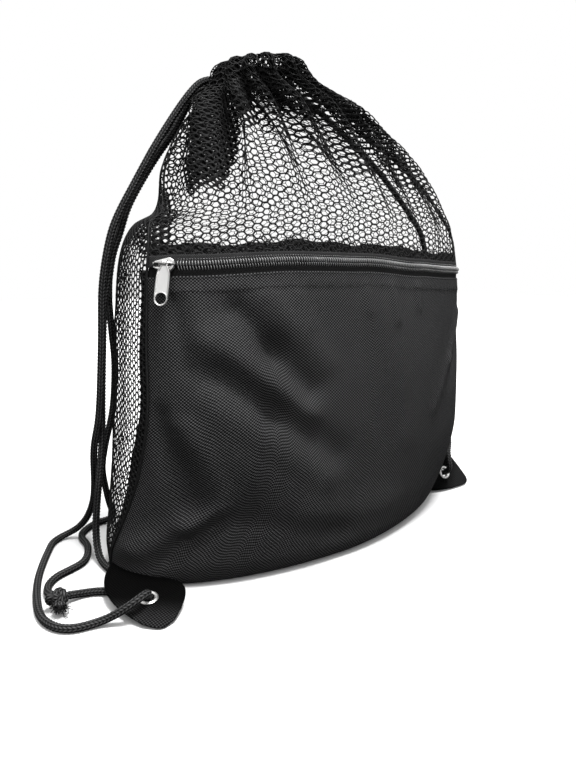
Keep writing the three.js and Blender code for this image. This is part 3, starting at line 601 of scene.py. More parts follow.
# Slopes that keep the outline from swinging past its rows
rowRises = np.diff(sectionRows, axis=0)
risesBefore = np.vstack([np.zeros(len(sectionColumns)), rowRises])
risesAfter = np.vstack([rowRises, np.zeros(len(sectionColumns))])
agree = risesBefore * risesAfter > 0
rowSlopes = np.where(agree, 2 * risesBefore * risesAfter / np.where(agree, risesBefore + risesAfter, 1), 0)


def sectionAt(level):
    level = np.asarray(level, dtype=float)
    row = np.clip(level.astype(int), 0, lastLevel - 1)
    t = (level - row)[..., None]
    values = sectionRows[row] + rowRises[row] * t * t * (3 - 2 * t)
    values = values + rowSlopes[row] * t * (1 - t) ** 2 - rowSlopes[row + 1] * t * t * (1 - t)
    return {name: values[..., k] for k, name in enumerate(sectionColumns)}


outerLevels = np.linspace(1, crestRow, 4000)
outerHeights = sectionAt(outerLevels)["z"]


def levelAt(height):
    return float(np.interp(height, outerHeights, outerLevels))


# Point of the outline at an angle, from an oval to nearly a rectangle
def outlinePoint(section, angle):
    c, s = np.cos(angle), np.sin(angle)
    power = 2 / np.where(c < 0, section["roundL"], section["roundR"])
    reachX = (section["right"] - section["left"]) / 2
    reachY = np.where(s < 0, section["mid"] - section["front"], section["back"] - section["mid"])
    x = (section["right"] + section["left"]) / 2 + reachX * np.sign(c) * np.abs(c) ** power
    return x, section["mid"] + reachY * np.sign(s) * np.abs(s) ** power


# Angle between a side seam and the outline's end
def seamAngle(section, seamY, rounding):
    ahead = section["mid"] - seamY
    reach = np.where(ahead > 0, section["mid"] - section["front"], section["back"] - section["mid"])
    return np.sign(ahead) * np.arcsin(np.minimum(np.abs(ahead) / reach, 1) ** (rounding / 2))


# Angle of the outline at each level and share of a panel's width, and the panel's width
tableLevels = np.linspace(0, lastLevel, 626)
tableShares = np.linspace(0, 1, 241)


def panelTable(side):
    section = sectionAt(tableLevels)
    leftSeam = math.pi + seamAngle(section, section["seamL"], section["roundL"])
    rightSeam = -seamAngle(section, section["seamR"], section["roundR"])
    start, stop = (leftSeam, rightSeam + 2 * math.pi) if side == "front" else (rightSeam, leftSeam)
    angle = start[:, None] + (stop - start)[:, None] * np.linspace(0, 1, 721)
    x, y = outlinePoint({key: value[:, None] for key, value in section.items()}, angle)
    lengths = np.cumsum(np.hypot(np.diff(x), np.diff(y)), axis=1)
    lengths = np.column_stack([np.zeros(len(lengths)), lengths])
    angles = [np.interp(tableShares * row[-1], row, turn) for row, turn in zip(lengths, angle)]
    return np.array(angles), lengths[:, -1]


panelTables = {side: panelTable(side) for side in ("front", "back")}


# Value of a table between its rows and columns
def tableAt(table, rows, columns):
    row = np.clip(rows.astype(int), 0, table.shape[0] - 2)
    column = np.clip(columns.astype(int), 0, table.shape[1] - 2)
    a, b = rows - row, columns - column
    low = table[row, column] * (1 - b) + table[row, column + 1] * b
    high = table[row + 1, column] * (1 - b) + table[row + 1, column + 1] * b
    return low * (1 - a) + high * a


def panelWidth(side, level):
    return np.interp(level, tableLevels, panelTables[side][1])


def foldDepth(x, z):
    depth = np.zeros_like(x)
    for fromX, fromZ, toX, toZ, width, deep in folds:
        dx, dz = toX - fromX, toZ - fromZ
        t = np.clip(((x - fromX) * dx + (z - fromZ) * dz) / (dx * dx + dz * dz), 0, 1)
        away = np.hypot(x - fromX - dx * t, z - fromZ - dz * t)
        depth += deep * np.exp(-(away / width) ** 2)
    return depth


zipLevel = levelAt(bag["zipHeight"])


def zipLift(s, level):
    k = np.clip(np.searchsorted(zipRise[:, 0], s, side="right") - 1, 0, len(zipRise) - 2)
    t = smoothstep(s, zipRise[k, 0], zipRise[k + 1, 0])
    rise = zipRise[k, 1] + (zipRise[k + 1, 1] - zipRise[k, 1]) * t
    return rise / bag["rowHeightAtZip"] * np.exp(-(((level - zipLevel) / bag["zipRiseReach"]) ** 2))


# Depth of the pleats that run down from the neck, each from its own height
def pleatDepth(s, z):
    pleats = bag["pleats"]
    start = pleats["from"] + waved(s, pleats["wander"])
    depth = smoothstep(z, start, pleats["full"]) ** pleats["ease"]
    depth = depth * (1 - smoothstep(z, pleats["to"], pleats["end"]))
    return pleats["depth"] * depth * betweenSeams(s, pleats["clearOfSeams"])


# Middle of the cloth at a share of the panel's width and a level, moved outward if asked
def clothPoint(side, s, level, outward=0.0, isGathered=True):
    s, level = np.broadcast_arrays(np.asarray(s, dtype=float), np.asarray(level, dtype=float))
    raised = np.clip(level + zipLift(s, level), 0, lastLevel) if side == "front" else level
    section = sectionAt(raised)
    inside = np.clip(s, 0, 1)
    rows = raised / lastLevel * (len(tableLevels) - 1)
    angle = tableAt(panelTables[side][0], rows, inside * (len(tableShares) - 1))
    x, y = outlinePoint(section, angle)
    nextX, nextY = outlinePoint(section, angle + probe["angle"])
    lastX, lastY = outlinePoint(section, angle - probe["angle"])
    tangent = unit(np.stack([nextX - lastX, nextY - lastY], axis=-1))
    overrun = (s - inside) * panelWidth(side, raised)
    count = bag["frontGathers"] if side == "front" else bag["backGathers"]
    out = np.zeros_like(x) + outward
    if isGathered:
        ripple = np.cos(2 * np.pi * count * (s + waved(s, bag["gatherWander"])))
        out = out + np.where(level > crestRow, -1, 1) * section["gather"] * ripple
        out = out + np.where(level > crestRow, 0, pleatDepth(inside, section["z"])) * ripple
    if side == "front":
        held = betweenSeams(inside, bag["foldsHeld"]["seams"])
        held = held * smoothstep(bag["zipHeight"] - section["z"], *bag["foldsHeld"]["zip"])
        held = held * np.minimum(section["z"] / bag["foldsHeld"]["floor"], 1)
        out = out + foldDepth(x, section["z"]) * held
    x = x + tangent[..., 0] * overrun + tangent[..., 1] * out
    y = y + tangent[..., 1] * overrun - tangent[..., 0] * out
    z = section["z"] + section["tilt"] * (x - cords["neckMiddle"][0])
    return np.stack([x, y, z], axis=-1) + bagOrigin


def clothNormal(side, s, level):
    after, before = np.asarray(s) + probe["share"], np.asarray(s) - probe["share"]
    above = np.minimum(np.asarray(level) + probe["level"], lastLevel)
    below = np.maximum(np.asarray(level) - probe["level"], 0)
    along = clothPoint(side, after, level) - clothPoint(side, before, level)
    return unit(np.cross(along, clothPoint(side, s, above) - clothPoint(side, s, below)))


def offCloth(side, s, level, distance):
    return clothPoint(side, s, level) + clothNormal(side, s, level) * np.asarray(distance)[..., None]


# Length up the cloth from the bottom seam, and the level at a length, both by share of the width
class Meridians:
    def __init__(self, side):
        self.shares = np.linspace(0, 1, 97)
        self.levels = np.linspace(0, lastLevel, 501)
        grid = clothPoint(side, self.shares[:, None], self.levels[None, :], isGathered=False)
        steps = np.linalg.norm(np.diff(grid, axis=1), axis=2)
        self.lengths = np.column_stack([np.zeros(len(self.shares)), np.cumsum(steps, axis=1)])
        self.reach = np.linspace(0, self.lengths.max(), 1200)
        self.inverse = np.array([np.interp(self.reach, row, self.levels) for row in self.lengths])

    def length(self, s, level):
        rows = np.clip(s, 0, 1) * (len(self.shares) - 1)
        return tableAt(self.lengths, rows, np.asarray(level) / lastLevel * (len(self.levels) - 1))

    def level(self, s, length):
        rows = np.clip(s, 0, 1) * (len(self.shares) - 1)
        return tableAt(self.inverse, rows, np.asarray(length) / self.reach[-1] * (len(self.reach) - 1))


meridians = {side: Meridians(side) for side in ("front", "back")}

# Hexagonal net, knitted of black yarn
net = {
    "columnPitch": 0.0057,  # from one column of cells to the next, at the widest place
    "keepWidth": 0.45,  # 1 keeps the cells as wide where the bag narrows, and columns end at its seams
    "rowPitch": 0.0050,
    "strand": 0.00104,
    "thickness": 0.0009,
    "settleTurns": 8,  # rounds that draw the columns in, and how far each goes
    "settleStep": 0.6,
    "sideRoom": 0.3,  # how far a cell may pass its panel's edges, in columns and in rows
    "endRoom": 0.2,
    "slantWiden": 1.25,
    "mostFilled": 0.85,  # of a cell by its strands
    "cornerRound": 0.965,
    "sideRound": 1.03,
    "look": {
        "patches": 70, "unevenness": 0.3, "dark": (0.003, 0.003, 0.003), "light": (0.038, 0.038, 0.0385),
        "roughness": 0.5, "gloss": 0.06, "relief": 0.00012,
    },
}
netYarn = yarnMaterial("net_yarn", net["look"])
cornerU = np.array([2, 1, -1, -2, -1, 1]) / 3  # of a flat-topped cell, in columns
cornerV = np.array([0, 1, 1, 0, -1, -1]) / 2  # in rows
inwardU = np.array([1, 0.5, -0.5, -1, -0.5, 0.5])  # way from each corner to the middle
inwardV = np.array([0, 1, 1, 0, -1, -1])


# Share of the width that a panel stops short of its seam, wider at the hem's openings
def edgeShare(side, level):
    opening = smoothstep(sectionAt(level)["z"], bag["hemStart"] - bag["mouthWidth"], bag["hemStart"])
    opening = np.where(np.asarray(level) > crestRow, 1, opening)
    return (bag["seamGap"] + (bag["mouthWidth"] - bag["seamGap"]) * opening) / panelWidth(side, level)


# Shares of the width with the columns' widths before each, more of them where the net is crowded
def columnTable(crowding):
    shares = np.linspace(-0.1, 1.1, 481)
    crowd = crowding(shares) if crowding else np.ones(len(shares))
    before = np.concatenate([[0], np.cumsum((crowd[1:] + crowd[:-1]) / 2 * np.diff(shares))])
    return shares, before - np.interp(0, shares, before)


# Strands round each cell: ridges on both faces of the net, which slope to the cell's rounded hole
def knitCells(place, normal, corner, half):
    cell = place[corner]
    middle = cell.mean(axis=1, keepdims=True)
    wide = (cell[:, 0] - cell[:, 3]) / 2
    tall = (cell[:, 1] + cell[:, 2] - cell[:, 4] - cell[:, 5]) / 4

    def filled(strand, reach):
        share = strand / np.maximum(np.linalg.norm(reach, axis=1), 1e-6)
        return np.minimum(share, net["mostFilled"])[:, None, None]

    inward = wide[:, None] * (inwardU[:, None] * filled(net["slantWiden"] * half, wide))
    inward = inward + tall[:, None] * (inwardV[:, None] * filled(half, tall))
    hole = middle + (cell - inward - middle) * net["cornerRound"]
    between = (hole + np.roll(hole, -1, axis=1)) / 2
    between = middle + (between - middle) * net["sideRound"]
    ridge = normal * net["thickness"] / 2
    points = np.vstack([place + ridge, place - ridge, hole.reshape(-1, 3), between.reshape(-1, 3)])
    count = len(place)
    holeAt = 2 * count + np.arange(len(cell) * 6).reshape(-1, 6)
    betweenAt = holeAt + len(cell) * 6
    faces = []
    for i in range(6):
        j = (i + 1) % 6
        a, b = corner[:, i], corner[:, j]
        inner, last, first = betweenAt[:, i], holeAt[:, j], holeAt[:, i]
        for one, two, flip in ((a, b, False), (a + count, b + count, True)):
            for trio in ((one, two, inner), (two, last, inner), (one, inner, first)):
                faces.append(np.stack(trio[::-1] if flip else trio, axis=1))
    return points, np.vstack(faces)


# Net over a panel between two levels, with all cells or those that are kept
def netMesh(side, fromLevel, toLevel, region=(0.0, 1.0), upTo=None, sink=0.0, phase=(0.0, 0.0),
            isKept=None, strandScale=None, towardsNeck=False, crowding=None):
    lines = meridians[side]
    widest = panelWidth(side, np.linspace(fromLevel, toLevel, 60)).max()
    crowdShares, crowdBefore = columnTable(crowding)
    crowdAll = np.interp(1, crowdShares, crowdBefore)
    columns = round(widest * crowdAll / net["columnPitch"])
    shares = lines.shares
    bottom = lines.length(shares, np.full(len(shares), fromLevel))
    top = lines.length(shares, np.full(len(shares), toLevel))
    if upTo is not None:
        top = np.minimum(top, bottom + upTo)

    # Share of the width and length up the cloth of a column and row, drawn in where the bag narrows
    def laid(u, v):
        across = np.interp((u + phase[0]) / columns * crowdAll, crowdBefore, crowdShares) - 0.5
        up = (v + phase[1]) * net["rowPitch"]
        s = across + 0.5
        for _ in range(net["settleTurns"]):
            length = np.interp(s, shares, bottom) + up
            level = lines.level(s, np.clip(length, 0, lines.reach[-1]))
            drawn = 0.5 + across * (widest / panelWidth(side, level)) ** net["keepWidth"]
            s = (1 - net["settleStep"]) * s + net["settleStep"] * drawn
        return s, np.interp(s, shares, bottom) + up

    rows = int((top - bottom).max() / net["rowPitch"]) + 1
    u, v = np.meshgrid(np.arange(-1, columns + 2), np.arange(-1, rows + 2))
    u = u.ravel()
    v = v.ravel() + 0.5 * (u % 2)
    s, length = laid(u, v)
    start, stop = np.interp(s, shares, bottom), np.interp(s, shares, top)
    level = lines.level(s, np.clip(length, start, stop))
    edge = edgeShare(side, level)
    near, over = net["sideRoom"] / columns, net["endRoom"] * net["rowPitch"]
    keep = (s > np.maximum(edge - near, region[0])) & (s < np.minimum(1 - edge + near, region[1]))
    keep &= (length > start - over) & (length < stop + over)
    if isKept:
        keep &= isKept(s, sectionAt(level)["z"], length - start)
    u, v = u[keep], v[keep]
    keys = np.stack([np.rint(3 * (u[:, None] + cornerU)), np.rint(2 * (v[:, None] + cornerV))], axis=-1)
    lattice, corner = np.unique(keys.reshape(-1, 2), axis=0, return_inverse=True)
    corner = corner.reshape(-1, 6)
    s, length = laid(lattice[:, 0] / 3, lattice[:, 1] / 2)
    length = np.clip(length, np.interp(s, shares, bottom), np.interp(s, shares, top))
    edge = edgeShare(side, lines.level(np.clip(s, 0, 1), length))
    s = np.clip(s, edge, 1 - edge)
    level = lines.level(s, length)
    normal = clothNormal(side, s, level)
    place = clothPoint(side, s, level)
    if towardsNeck:  # level, so that layers stay apart over the rim too
        fromNeck = (place - bagOrigin)[:, :2] - cords["neckMiddle"]
        place[:, :2] -= unit(fromNeck) * sink
    else:
        place = place - normal * sink
    half = net["strand"] / 2 * (strandScale(s[corner].mean(axis=1)) if strandScale else 1)
    return knitCells(place, normal, corner, half)


yokeLevel = levelAt(bag["zipHeight"] + bag["upperTape"])
pocketLevel = levelAt(bag["zipHeight"] - bag["lowerTape"] + bag["pocketOverlap"])


def addNet(name, parts, *nodes):
    points, faces = joinParts(parts)
    return settle(addMesh(name, points, faces, netYarn), "net", *nodes)


# Lower edge of the net that is bunched inside the neck: share of the width and height
gathers = {
    "front": np.array([
        (0.0, 0.318), (0.06, 0.314), (0.075, 0.266), (0.12, 0.266), (0.17, 0.274), (0.2, 0.283),
        (0.22, 0.312), (0.28, 0.310), (0.34, 0.304), (0.4, 0.299), (0.46, 0.297), (0.5, 0.290),
        (0.55, 0.281), (0.58, 0.279), (0.6, 0.300), (0.64, 0.299), (0.68, 0.284), (0.76, 0.274),
        (0.82, 0.272), (0.87, 0.277), (0.92, 0.296), (1.0, 0.322),
    ]),
    "back": np.array([(0.0, 0.338), (0.6, 0.338), (0.9, 0.33), (1.0, 0.32)]),
    "wander": [(0.003, 70, 0.0)],
    "bunched": (2.3, 1.2),  # strands' width there, at the left and at the right
    "bunchedTo": (0.24, 0.36),  # shares of the width between which it changes
    # Sink of each layer, its shift in columns and rows, and how much higher it ends, also off the left
    "layers": (
        (0.0020, 0.3, 0.2, 0.0, 0.0),
        (0.0042, 0.6, 0.5, 0.004, 0.024),
        (0.0062, 0.1, 0.8, 0.008, 0.03),
    ),
    "offLeft": ((0.22, 0.3), (0.45, 0.6)),
    "upTo": 21.5,  # section row
    "shoulder": ((0.0012, 0.4, 0.3), (0.0030, 0.1, 0.7)),
    "shoulderForm": {"panel": 0.35, "reach": 0.018, "narrowing": 0.6, "middle": 0.238, "low": 0.222},
}


def bunchedStrand(s):
    left, right = gathers["bunched"]
    return left + (right - left) * smoothstep(s, *gathers["bunchedTo"])


def gatheredNet(side, sink, phaseU, phaseV, shorter, offLeft):
    edge = gathers[side]

    def isInside(s, z, rise):
        low = np.interp(s, edge[:, 0], edge[:, 1]) + shorter + waved(s, gathers["wander"])
        for start, stop in gathers["offLeft"]:
            low = low + offLeft * smoothstep(s, start, stop)
        return z > low

    return netMesh(side, yokeLevel, gathers["upTo"], sink=sink, phase=(phaseU, phaseV), isKept=isInside,
                   strandScale=bunchedStrand, towardsNeck=True)


# Net pinched together at the left end of the zip
def shoulderNet(side, sink, phaseU, phaseV):
    form = gathers["shoulderForm"]

    def isInside(s, z, rise):
        fromSeam = (s if side == "front" else 1 - s) * form["panel"]
        reach = form["reach"] - form["narrowing"] * np.abs(z - form["middle"])
        return (fromSeam < reach) & (z > form["low"])

    return netMesh(side, zipLevel, gathers["upTo"], sink=sink, phase=(phaseU, phaseV), isKept=isInside,
                   strandScale=bunchedStrand)


# The back is stretched over its bulge, so its strands are thinner between the sides,
# and its cells close to upright slits along the left side
backNet = {
    "fromRow": 0.9,
    "strand": 0.46,
    "leftStrand": (0.74, 0.78, 0.9),  # how much wider, and the shares of the width between which it grows
    "rightStrand": (0.54, 0.88, 0.96),  # the same, counted from the other side
    "crowded": (0.9, 0.86, 0.93),
    "halves": {"back_net_left": (0.4999, 1.1), "back_net_right": (-0.1, 0.4999)},
}


def stretchedStrand(s):
    left, *leftSpan = backNet["leftStrand"]
    right, *rightSpan = backNet["rightStrand"]
    return backNet["strand"] + left * smoothstep(s, *leftSpan) + right * smoothstep(1 - s, *rightSpan)


def crowdedLeft(s):
    more, *span = backNet["crowded"]
    return 1 + more * smoothstep(s, *span)


# The yoke's lower edge is turned in behind it
yoke = {
    "turnedIn": {"upTo": 0.016, "sink": 0.0011, "phase": (0.5, 0.35)},
    "turnedInTall": 0.0085,
    "wander": [(0.0022, 31, 0.0), (0.0014, 83, 1.0)],
}


def isTurnedIn(s, z, rise):
    return rise < yoke["turnedInTall"] + waved(s, yoke["wander"])


yokeNet = addNet("yoke_net", [netMesh("front", yokeLevel, lastLevel)], "front_yoke")
yokeAllowance = addNet("yoke_seam_allowance", [
    netMesh("front", yokeLevel, lastLevel, isKept=isTurnedIn, **yoke["turnedIn"]),
])
backLeft, backRight = (
    addNet(name, [netMesh("back", backNet["fromRow"], lastLevel, region=half, strandScale=stretchedStrand,
                          crowding=crowdedLeft)], "back_panel")
    for name, half in backNet["halves"].items()
)
neckFront = addNet("neck_gathers_front", [gatheredNet("front", *layer) for layer in gathers["layers"]])
neckBack = addNet("neck_gathers_back", [gatheredNet("back", *layer) for layer in gathers["layers"][:2]])
shoulder = addNet("shoulder_gathers", [
    shoulderNet(side, *layer) for side in ("front", "back") for layer in gathers["shoulder"]
])
print("net knitted", [len(o.data.polygons) for o in (yokeNet, yokeAllowance, backLeft, backRight)])

# Pocket of woven cloth, with a stitched fold along its top
pocket = {
    "columns": 180,
    "rows": 124,
    "bottomRows": 18,  # up to the third section row
    "edges": (0.002, 0.998),
    "thickness": 0.0007,
    "hem": 0.0108,
    "hemLift": 0.0006,
    "hemSoftness": 0.0006,
    "puckerDepth": 0.00025,
    "puckerReach": 0.003,
    "puckerTurns": 310,
    "puckerWander": [(2.0, 37, 0.0)],
    "look": {
        "warp": 880, "weft": 950, "patches": 14, "unevenness": 0.3, "dark": (0.0006, 0.0006, 0.0006),
        "light": (0.11, 0.11, 0.112), "roughness": 0.45, "gloss": 0.03, "relief": 0.0004,
    },
}
wovenBlack = wovenMaterial("woven_black", pocket["look"])


# Grid of cloth on the bag's surface with flat coordinates in metres
def clothGrid(side, shares, levels, lift):
    s, level = np.meshgrid(shares, levels)
    points = clothPoint(side, s, level) + clothNormal(side, s, level) * lift(s, level)[..., None]
    width = panelWidth(side, np.full_like(s, zipLevel))
    down = meridians[side].length(s, level) - meridians[side].length(s, np.full_like(s, zipLevel))
    uv = np.stack([s * width, down], axis=-1)
    faces = gridFaces(len(levels), len(shares))
    return points.reshape(-1, 3), faces, uv.reshape(-1, 2)


def addThickness(obj, thickness):
    solid = obj.modifiers.new("thickness", "SOLIDIFY")
    solid.thickness = thickness
    solid.offset = 0
    solid.use_even_offset = True


def pocketLift(s, level):
    top = meridians["front"].length(s, np.full_like(s, pocketLevel))
    below = top - meridians["front"].length(s, level) - pocket["hem"]
    fold = 1 / (1 + np.exp(below / pocket["hemSoftness"]))
    puckers = np.sin(pocket["puckerTurns"] * s + waved(s, pocket["puckerWander"]))
    puckers = puckers * np.exp(-((below / pocket["puckerReach"]) ** 2))
    return pocket["hemLift"] * fold + pocket["puckerDepth"] * puckers


def addPocket():
    shares = np.linspace(*pocket["edges"], pocket["columns"])
    levels = np.linspace(0, 2, pocket["bottomRows"])[:-1]
    levels = np.concatenate([levels, np.linspace(2, pocketLevel, pocket["rows"])])
    points, faces, uv = clothGrid("front", shares, levels, pocketLift)
    cloth = addMesh("pocket_cloth", points, faces, wovenBlack, uv)
    addThickness(cloth, pocket["thickness"])
    return settle(cloth, "pocket_cloth", "pocket_panel")


pocketCloth = addPocket()
print("pocket sewn")

# Seams: cloth behind the net, rolled edges and rows of stitches
seams = {
    "sink": 0.0017,
    "stripThickness": 0.0005,
    "band": {
        "tall": 0.0092, "below": 0.001, "ends": (0.004, 0.996), "columns": 220, "rows": 7,
        "wander": [(0.12, 23, 0.0), (0.08, 61, 1.0)],
    },
    "allowance": {
        "wide": 0.0082, "fuller": 0.55, "fullAt": 0.09, "fullReach": 0.05, "wander": [(0.15, 90, 0.0)],
        "fromRow": 0.95, "rows": 150, "columns": 6,
    },
    "piping": {
        "radius": 0.00078609, "outward": 0.0006, "fromRow": 0.9, "underHem": 0.4, "step": 0.0012,
        "sides": 8,
    },
    "pocketRows": ((-0.0013, 0.0011), (0.0006 - pocket["hem"], 0.0009)),  # from the pocket's top, and lift
    "hemRow": (-0.004, 0.0006, (0.14, 0.86)),  # from the hem's start, lift and ends
    "stitchPitch": 0.0027,
    "stitchLength": 0.0019,
    "firstStitch": 0.001,
    "threadRadius": 0.00016,
    "threadTaper": (0.5, 1, 1, 1, 0.5),
    "threadArch": (-0.0002, 0.0001, 0.00018, 0.0001, -0.0002),
    "threadSides": 6,
    "threadLook": {
        "patches": 60, "unevenness": 0.3, "dark": (0.004, 0.004, 0.004), "light": (0.024, 0.024, 0.0245),
        "roughness": 0.5, "gloss": 0.1, "relief": 0.00004,
    },
}
threadBlack = yarnMaterial("thread_black", seams["threadLook"])
hemLevel = levelAt(bag["hemStart"])


# Strip of pocket cloth behind the net, at a grid of shares and levels
def addStrip(name, side, s, level):
    points = clothPoint(side, s, level) - clothNormal(side, s, level) * seams["sink"]
    width = panelWidth(side, np.full_like(s, zipLevel))
    uv = np.stack([s * width, meridians[side].length(s, level)], axis=-1)
    strip = addMesh(name, points.reshape(-1, 3), gridFaces(*s.shape), wovenBlack, uv.reshape(-1, 2))
    addThickness(strip, seams["stripThickness"])
    return settle(strip, "pocket_cloth")


def addYokeBand():
    band = seams["band"]
    up = np.linspace(0, 1, band["rows"])[:, None]
    s = np.linspace(*band["ends"], band["columns"])[None, :] * np.ones_like(up)
    tall = band["tall"] * (1 + waved(s, band["wander"]))
    start = meridians["front"].length(s, np.full_like(s, yokeLevel)) - band["below"]
    return addStrip("yoke_band", "front", s, meridians["front"].level(s, start + tall * up))


def addAllowance(name, seamShare, inward):
    form = seams["allowance"]
    across = np.linspace(0, 1, form["columns"])
    level = np.linspace(form["fromRow"], zipLevel, form["rows"])[:, None] * np.ones_like(across)
    z = sectionAt(level)["z"]
    fuller = form["fuller"] * np.exp(-(((z - form["fullAt"]) / form["fullReach"]) ** 2))
    wide = form["wide"] * (1 + fuller + waved(z, form["wander"]))
    s = seamShare + inward * wide * across / panelWidth("back", level)
    return addStrip(name, "back", s, level)


# Rolled edge along a side seam, up to the hem
def addPiping(name, seamShare):
    form = seams["piping"]
    level = np.linspace(form["fromRow"], hemLevel - form["underHem"], 320)
    line = clothPoint("front", np.full_like(level, seamShare), level, form["outward"], isGathered=False)
    points, faces, uv = tube(evenly(line, form["step"]), form["radius"], form["sides"])
    return settle(addMesh(name, points, faces, threadBlack, uv), "net")


# Short capsules of thread along rows of points that have their outward directions
def addStitches(name, rows, slot):
    reach = np.linspace(0, seams["stitchLength"], len(seams["threadArch"]))
    arch = np.array(seams["threadArch"])[:, None]
    radius = seams["threadRadius"] * np.array(seams["threadTaper"])
    parts = []
    for line, outs in rows:
        lengths = lengthsAlong(line)
        starts = np.arange(seams["firstStitch"], lengths[-1] - seams["stitchLength"], seams["stitchPitch"])
        for start in starts:
            path = atLengths(start + reach, lengths, line) + unit(atLengths(start, lengths, outs)) * arch
            parts.append(tube(path, radius, seams["threadSides"])[:2])
    points, faces = joinParts(parts)
    return settle(addMesh(name, points, faces, threadBlack), slot)


# Row across a panel at a distance from a level
def clothRow(side, level, distance, lift, ends=(0.012, 0.988)):
    s = np.linspace(*ends, 260)
    at = meridians[side].level(s, meridians[side].length(s, np.full_like(s, level)) + distance)
    outs = clothNormal(side, s, at)
    return clothPoint(side, s, at) + outs * lift, outs


yokeBand = addYokeBand()
seamLeft = [addAllowance("seam_allowance_left", 1.0, -1), addPiping("seam_piping_left", 0.0)]
seamRight = [addAllowance("seam_allowance_right", 0.0, 1), addPiping("seam_piping_right", 1.0)]
pocketStitches = addStitches("pocket_stitches", [
    clothRow("front", pocketLevel, *row) for row in seams["pocketRows"]
], "pocket_cloth")
hemStitches = addStitches("hem_stitches", [
    clothRow(side, hemLevel, *seams["hemRow"]) for side in ("front", "back")
], "net")
print("seams stitched")

# Zip: tapes, coil, slider and pull
zipper = {
    "tapeColumns": 200,
    "tapeRows": 8,
    "tapeEnds": (0.003, 0.997),
    "tapeThickness": 0.0006,
    "upperTape": (-0.0009, bag["upperTape"] + 0.0008, 0.0004),  # edges from the zip's line, and lift
    "lowerTape": (-bag["lowerTape"] - 0.003, 0.0009, -0.0004),
    "pitch": 0.0018,
    "coilStart": 0.068,
    "coilEnd": 1.014,
    "turnsUpTo": 0.995,  # the last teeth face the same way
    # Strokes of nylon for each tooth: rises, depths outward, lean, shift along in pitches and radius
    "strokes": [
        ((0.0026, 0.0018, 0.0007, -0.0005, -0.0012), (0.0008, 0.0020, 0.0027, 0.0024, 0.0010),
         0.0002, 0.0, 0.00036),
        ((-0.0012, -0.0018, -0.0025, -0.0032, -0.0036), (0.0016, 0.0022, 0.0020, 0.0013, 0.0005),
         0.0006, 0.3, 0.00028),
        ((0.0037, 0.0037, 0.0036, 0.0036, 0.0036), (0.0008, 0.0010, 0.0011, 0.0010, 0.0008),
         0.0009, 0.0, 0.0002),
    ],
    "strokeTaper": (0.45, 1, 1, 1, 0.45),
    "strokeSides": 6,
    "shadedLight": (0.012, 0.012, 0.0122),  # of the lower tape: painted shade of the coil over it
    "tapeLook": {
        "warp": 1700, "weft": 1300, "patches": 40, "unevenness": 0.3, "dark": (0.012, 0.012, 0.012),
        "light": (0.07, 0.07, 0.071), "roughness": 0.65, "gloss": 0.03, "relief": 0.0002,
    },
    # The coil's light colour is far paler than black nylon: painted highlight of the lamps on its teeth, in
    # fine speckles
    "coilLook": {
        "patches": 50, "unevenness": 0.3, "dark": (0.008, 0.008, 0.008), "light": (0.5, 0.5, 0.5),
        "roughness": 0.28, "gloss": 0.8, "relief": 0.00001,
    },
}
tapeBlack = wovenMaterial("tape_black", zipper["tapeLook"])
tapeShaded = wovenMaterial("tape_shaded", {**zipper["tapeLook"], "light": zipper["shadedLight"]})
nylonBlack = yarnMaterial("nylon_black", zipper["coilLook"])


def addTape(name, form, material):
    low, high, lift = form
    shares = np.linspace(*zipper["tapeEnds"], zipper["tapeColumns"])
    bottom, top = (levelAt(bag["zipHeight"] + edge) for edge in (low, high))
    levels = np.linspace(bottom, top, zipper["tapeRows"])
    points, faces, uv = clothGrid("front", shares, levels, lambda s, level: np.full_like(s, lift))
    tape = addMesh(name, points, faces, material, uv)
    addThickness(tape, zipper["tapeThickness"])
    return settle(tape, "zip_tape", f"zip_{name}")


tapeUpper = addTape("tape_upper", zipper["upperTape"], tapeBlack)
tapeLower = addTape("tape_lower", zipper["lowerTape"], tapeShaded)


# Row of nylon loops and of the stitches that hold them
def addCoil():
    width = float(panelWidth("front", zipLevel))
    count = int((zipper["coilEnd"] - zipper["coilStart"]) * width / zipper["pitch"])
    s = np.linspace(zipper["coilStart"], zipper["coilEnd"], count)
    level = np.full(count, zipLevel)
    middle = clothPoint("front", s, level)
    out = clothNormal("front", np.clip(s, 0, zipper["turnsUpTo"]), level)
    along = unit(np.gradient(middle, axis=0))
    up = unit(np.cross(out, along))
    taper = np.array(zipper["strokeTaper"])
    parts = []
    for i in range(count):
        for rises, depths, lean, shift, radius in zipper["strokes"]:
            steps = np.linspace(-0.5, 0.5, len(rises)) * lean
            line = middle[i] + along[i] * shift * zipper["pitch"]
            line = line + np.outer(rises, up[i]) + np.outer(depths, out[i]) + np.outer(steps, along[i])
            parts.append(tube(line, radius * taper, zipper["strokeSides"])[:2])
    points, faces = joinParts(parts)
    return settle(addMesh("coil_teeth", points, faces, nylonBlack), "zip_coil", "zip_coil")


addCoil()

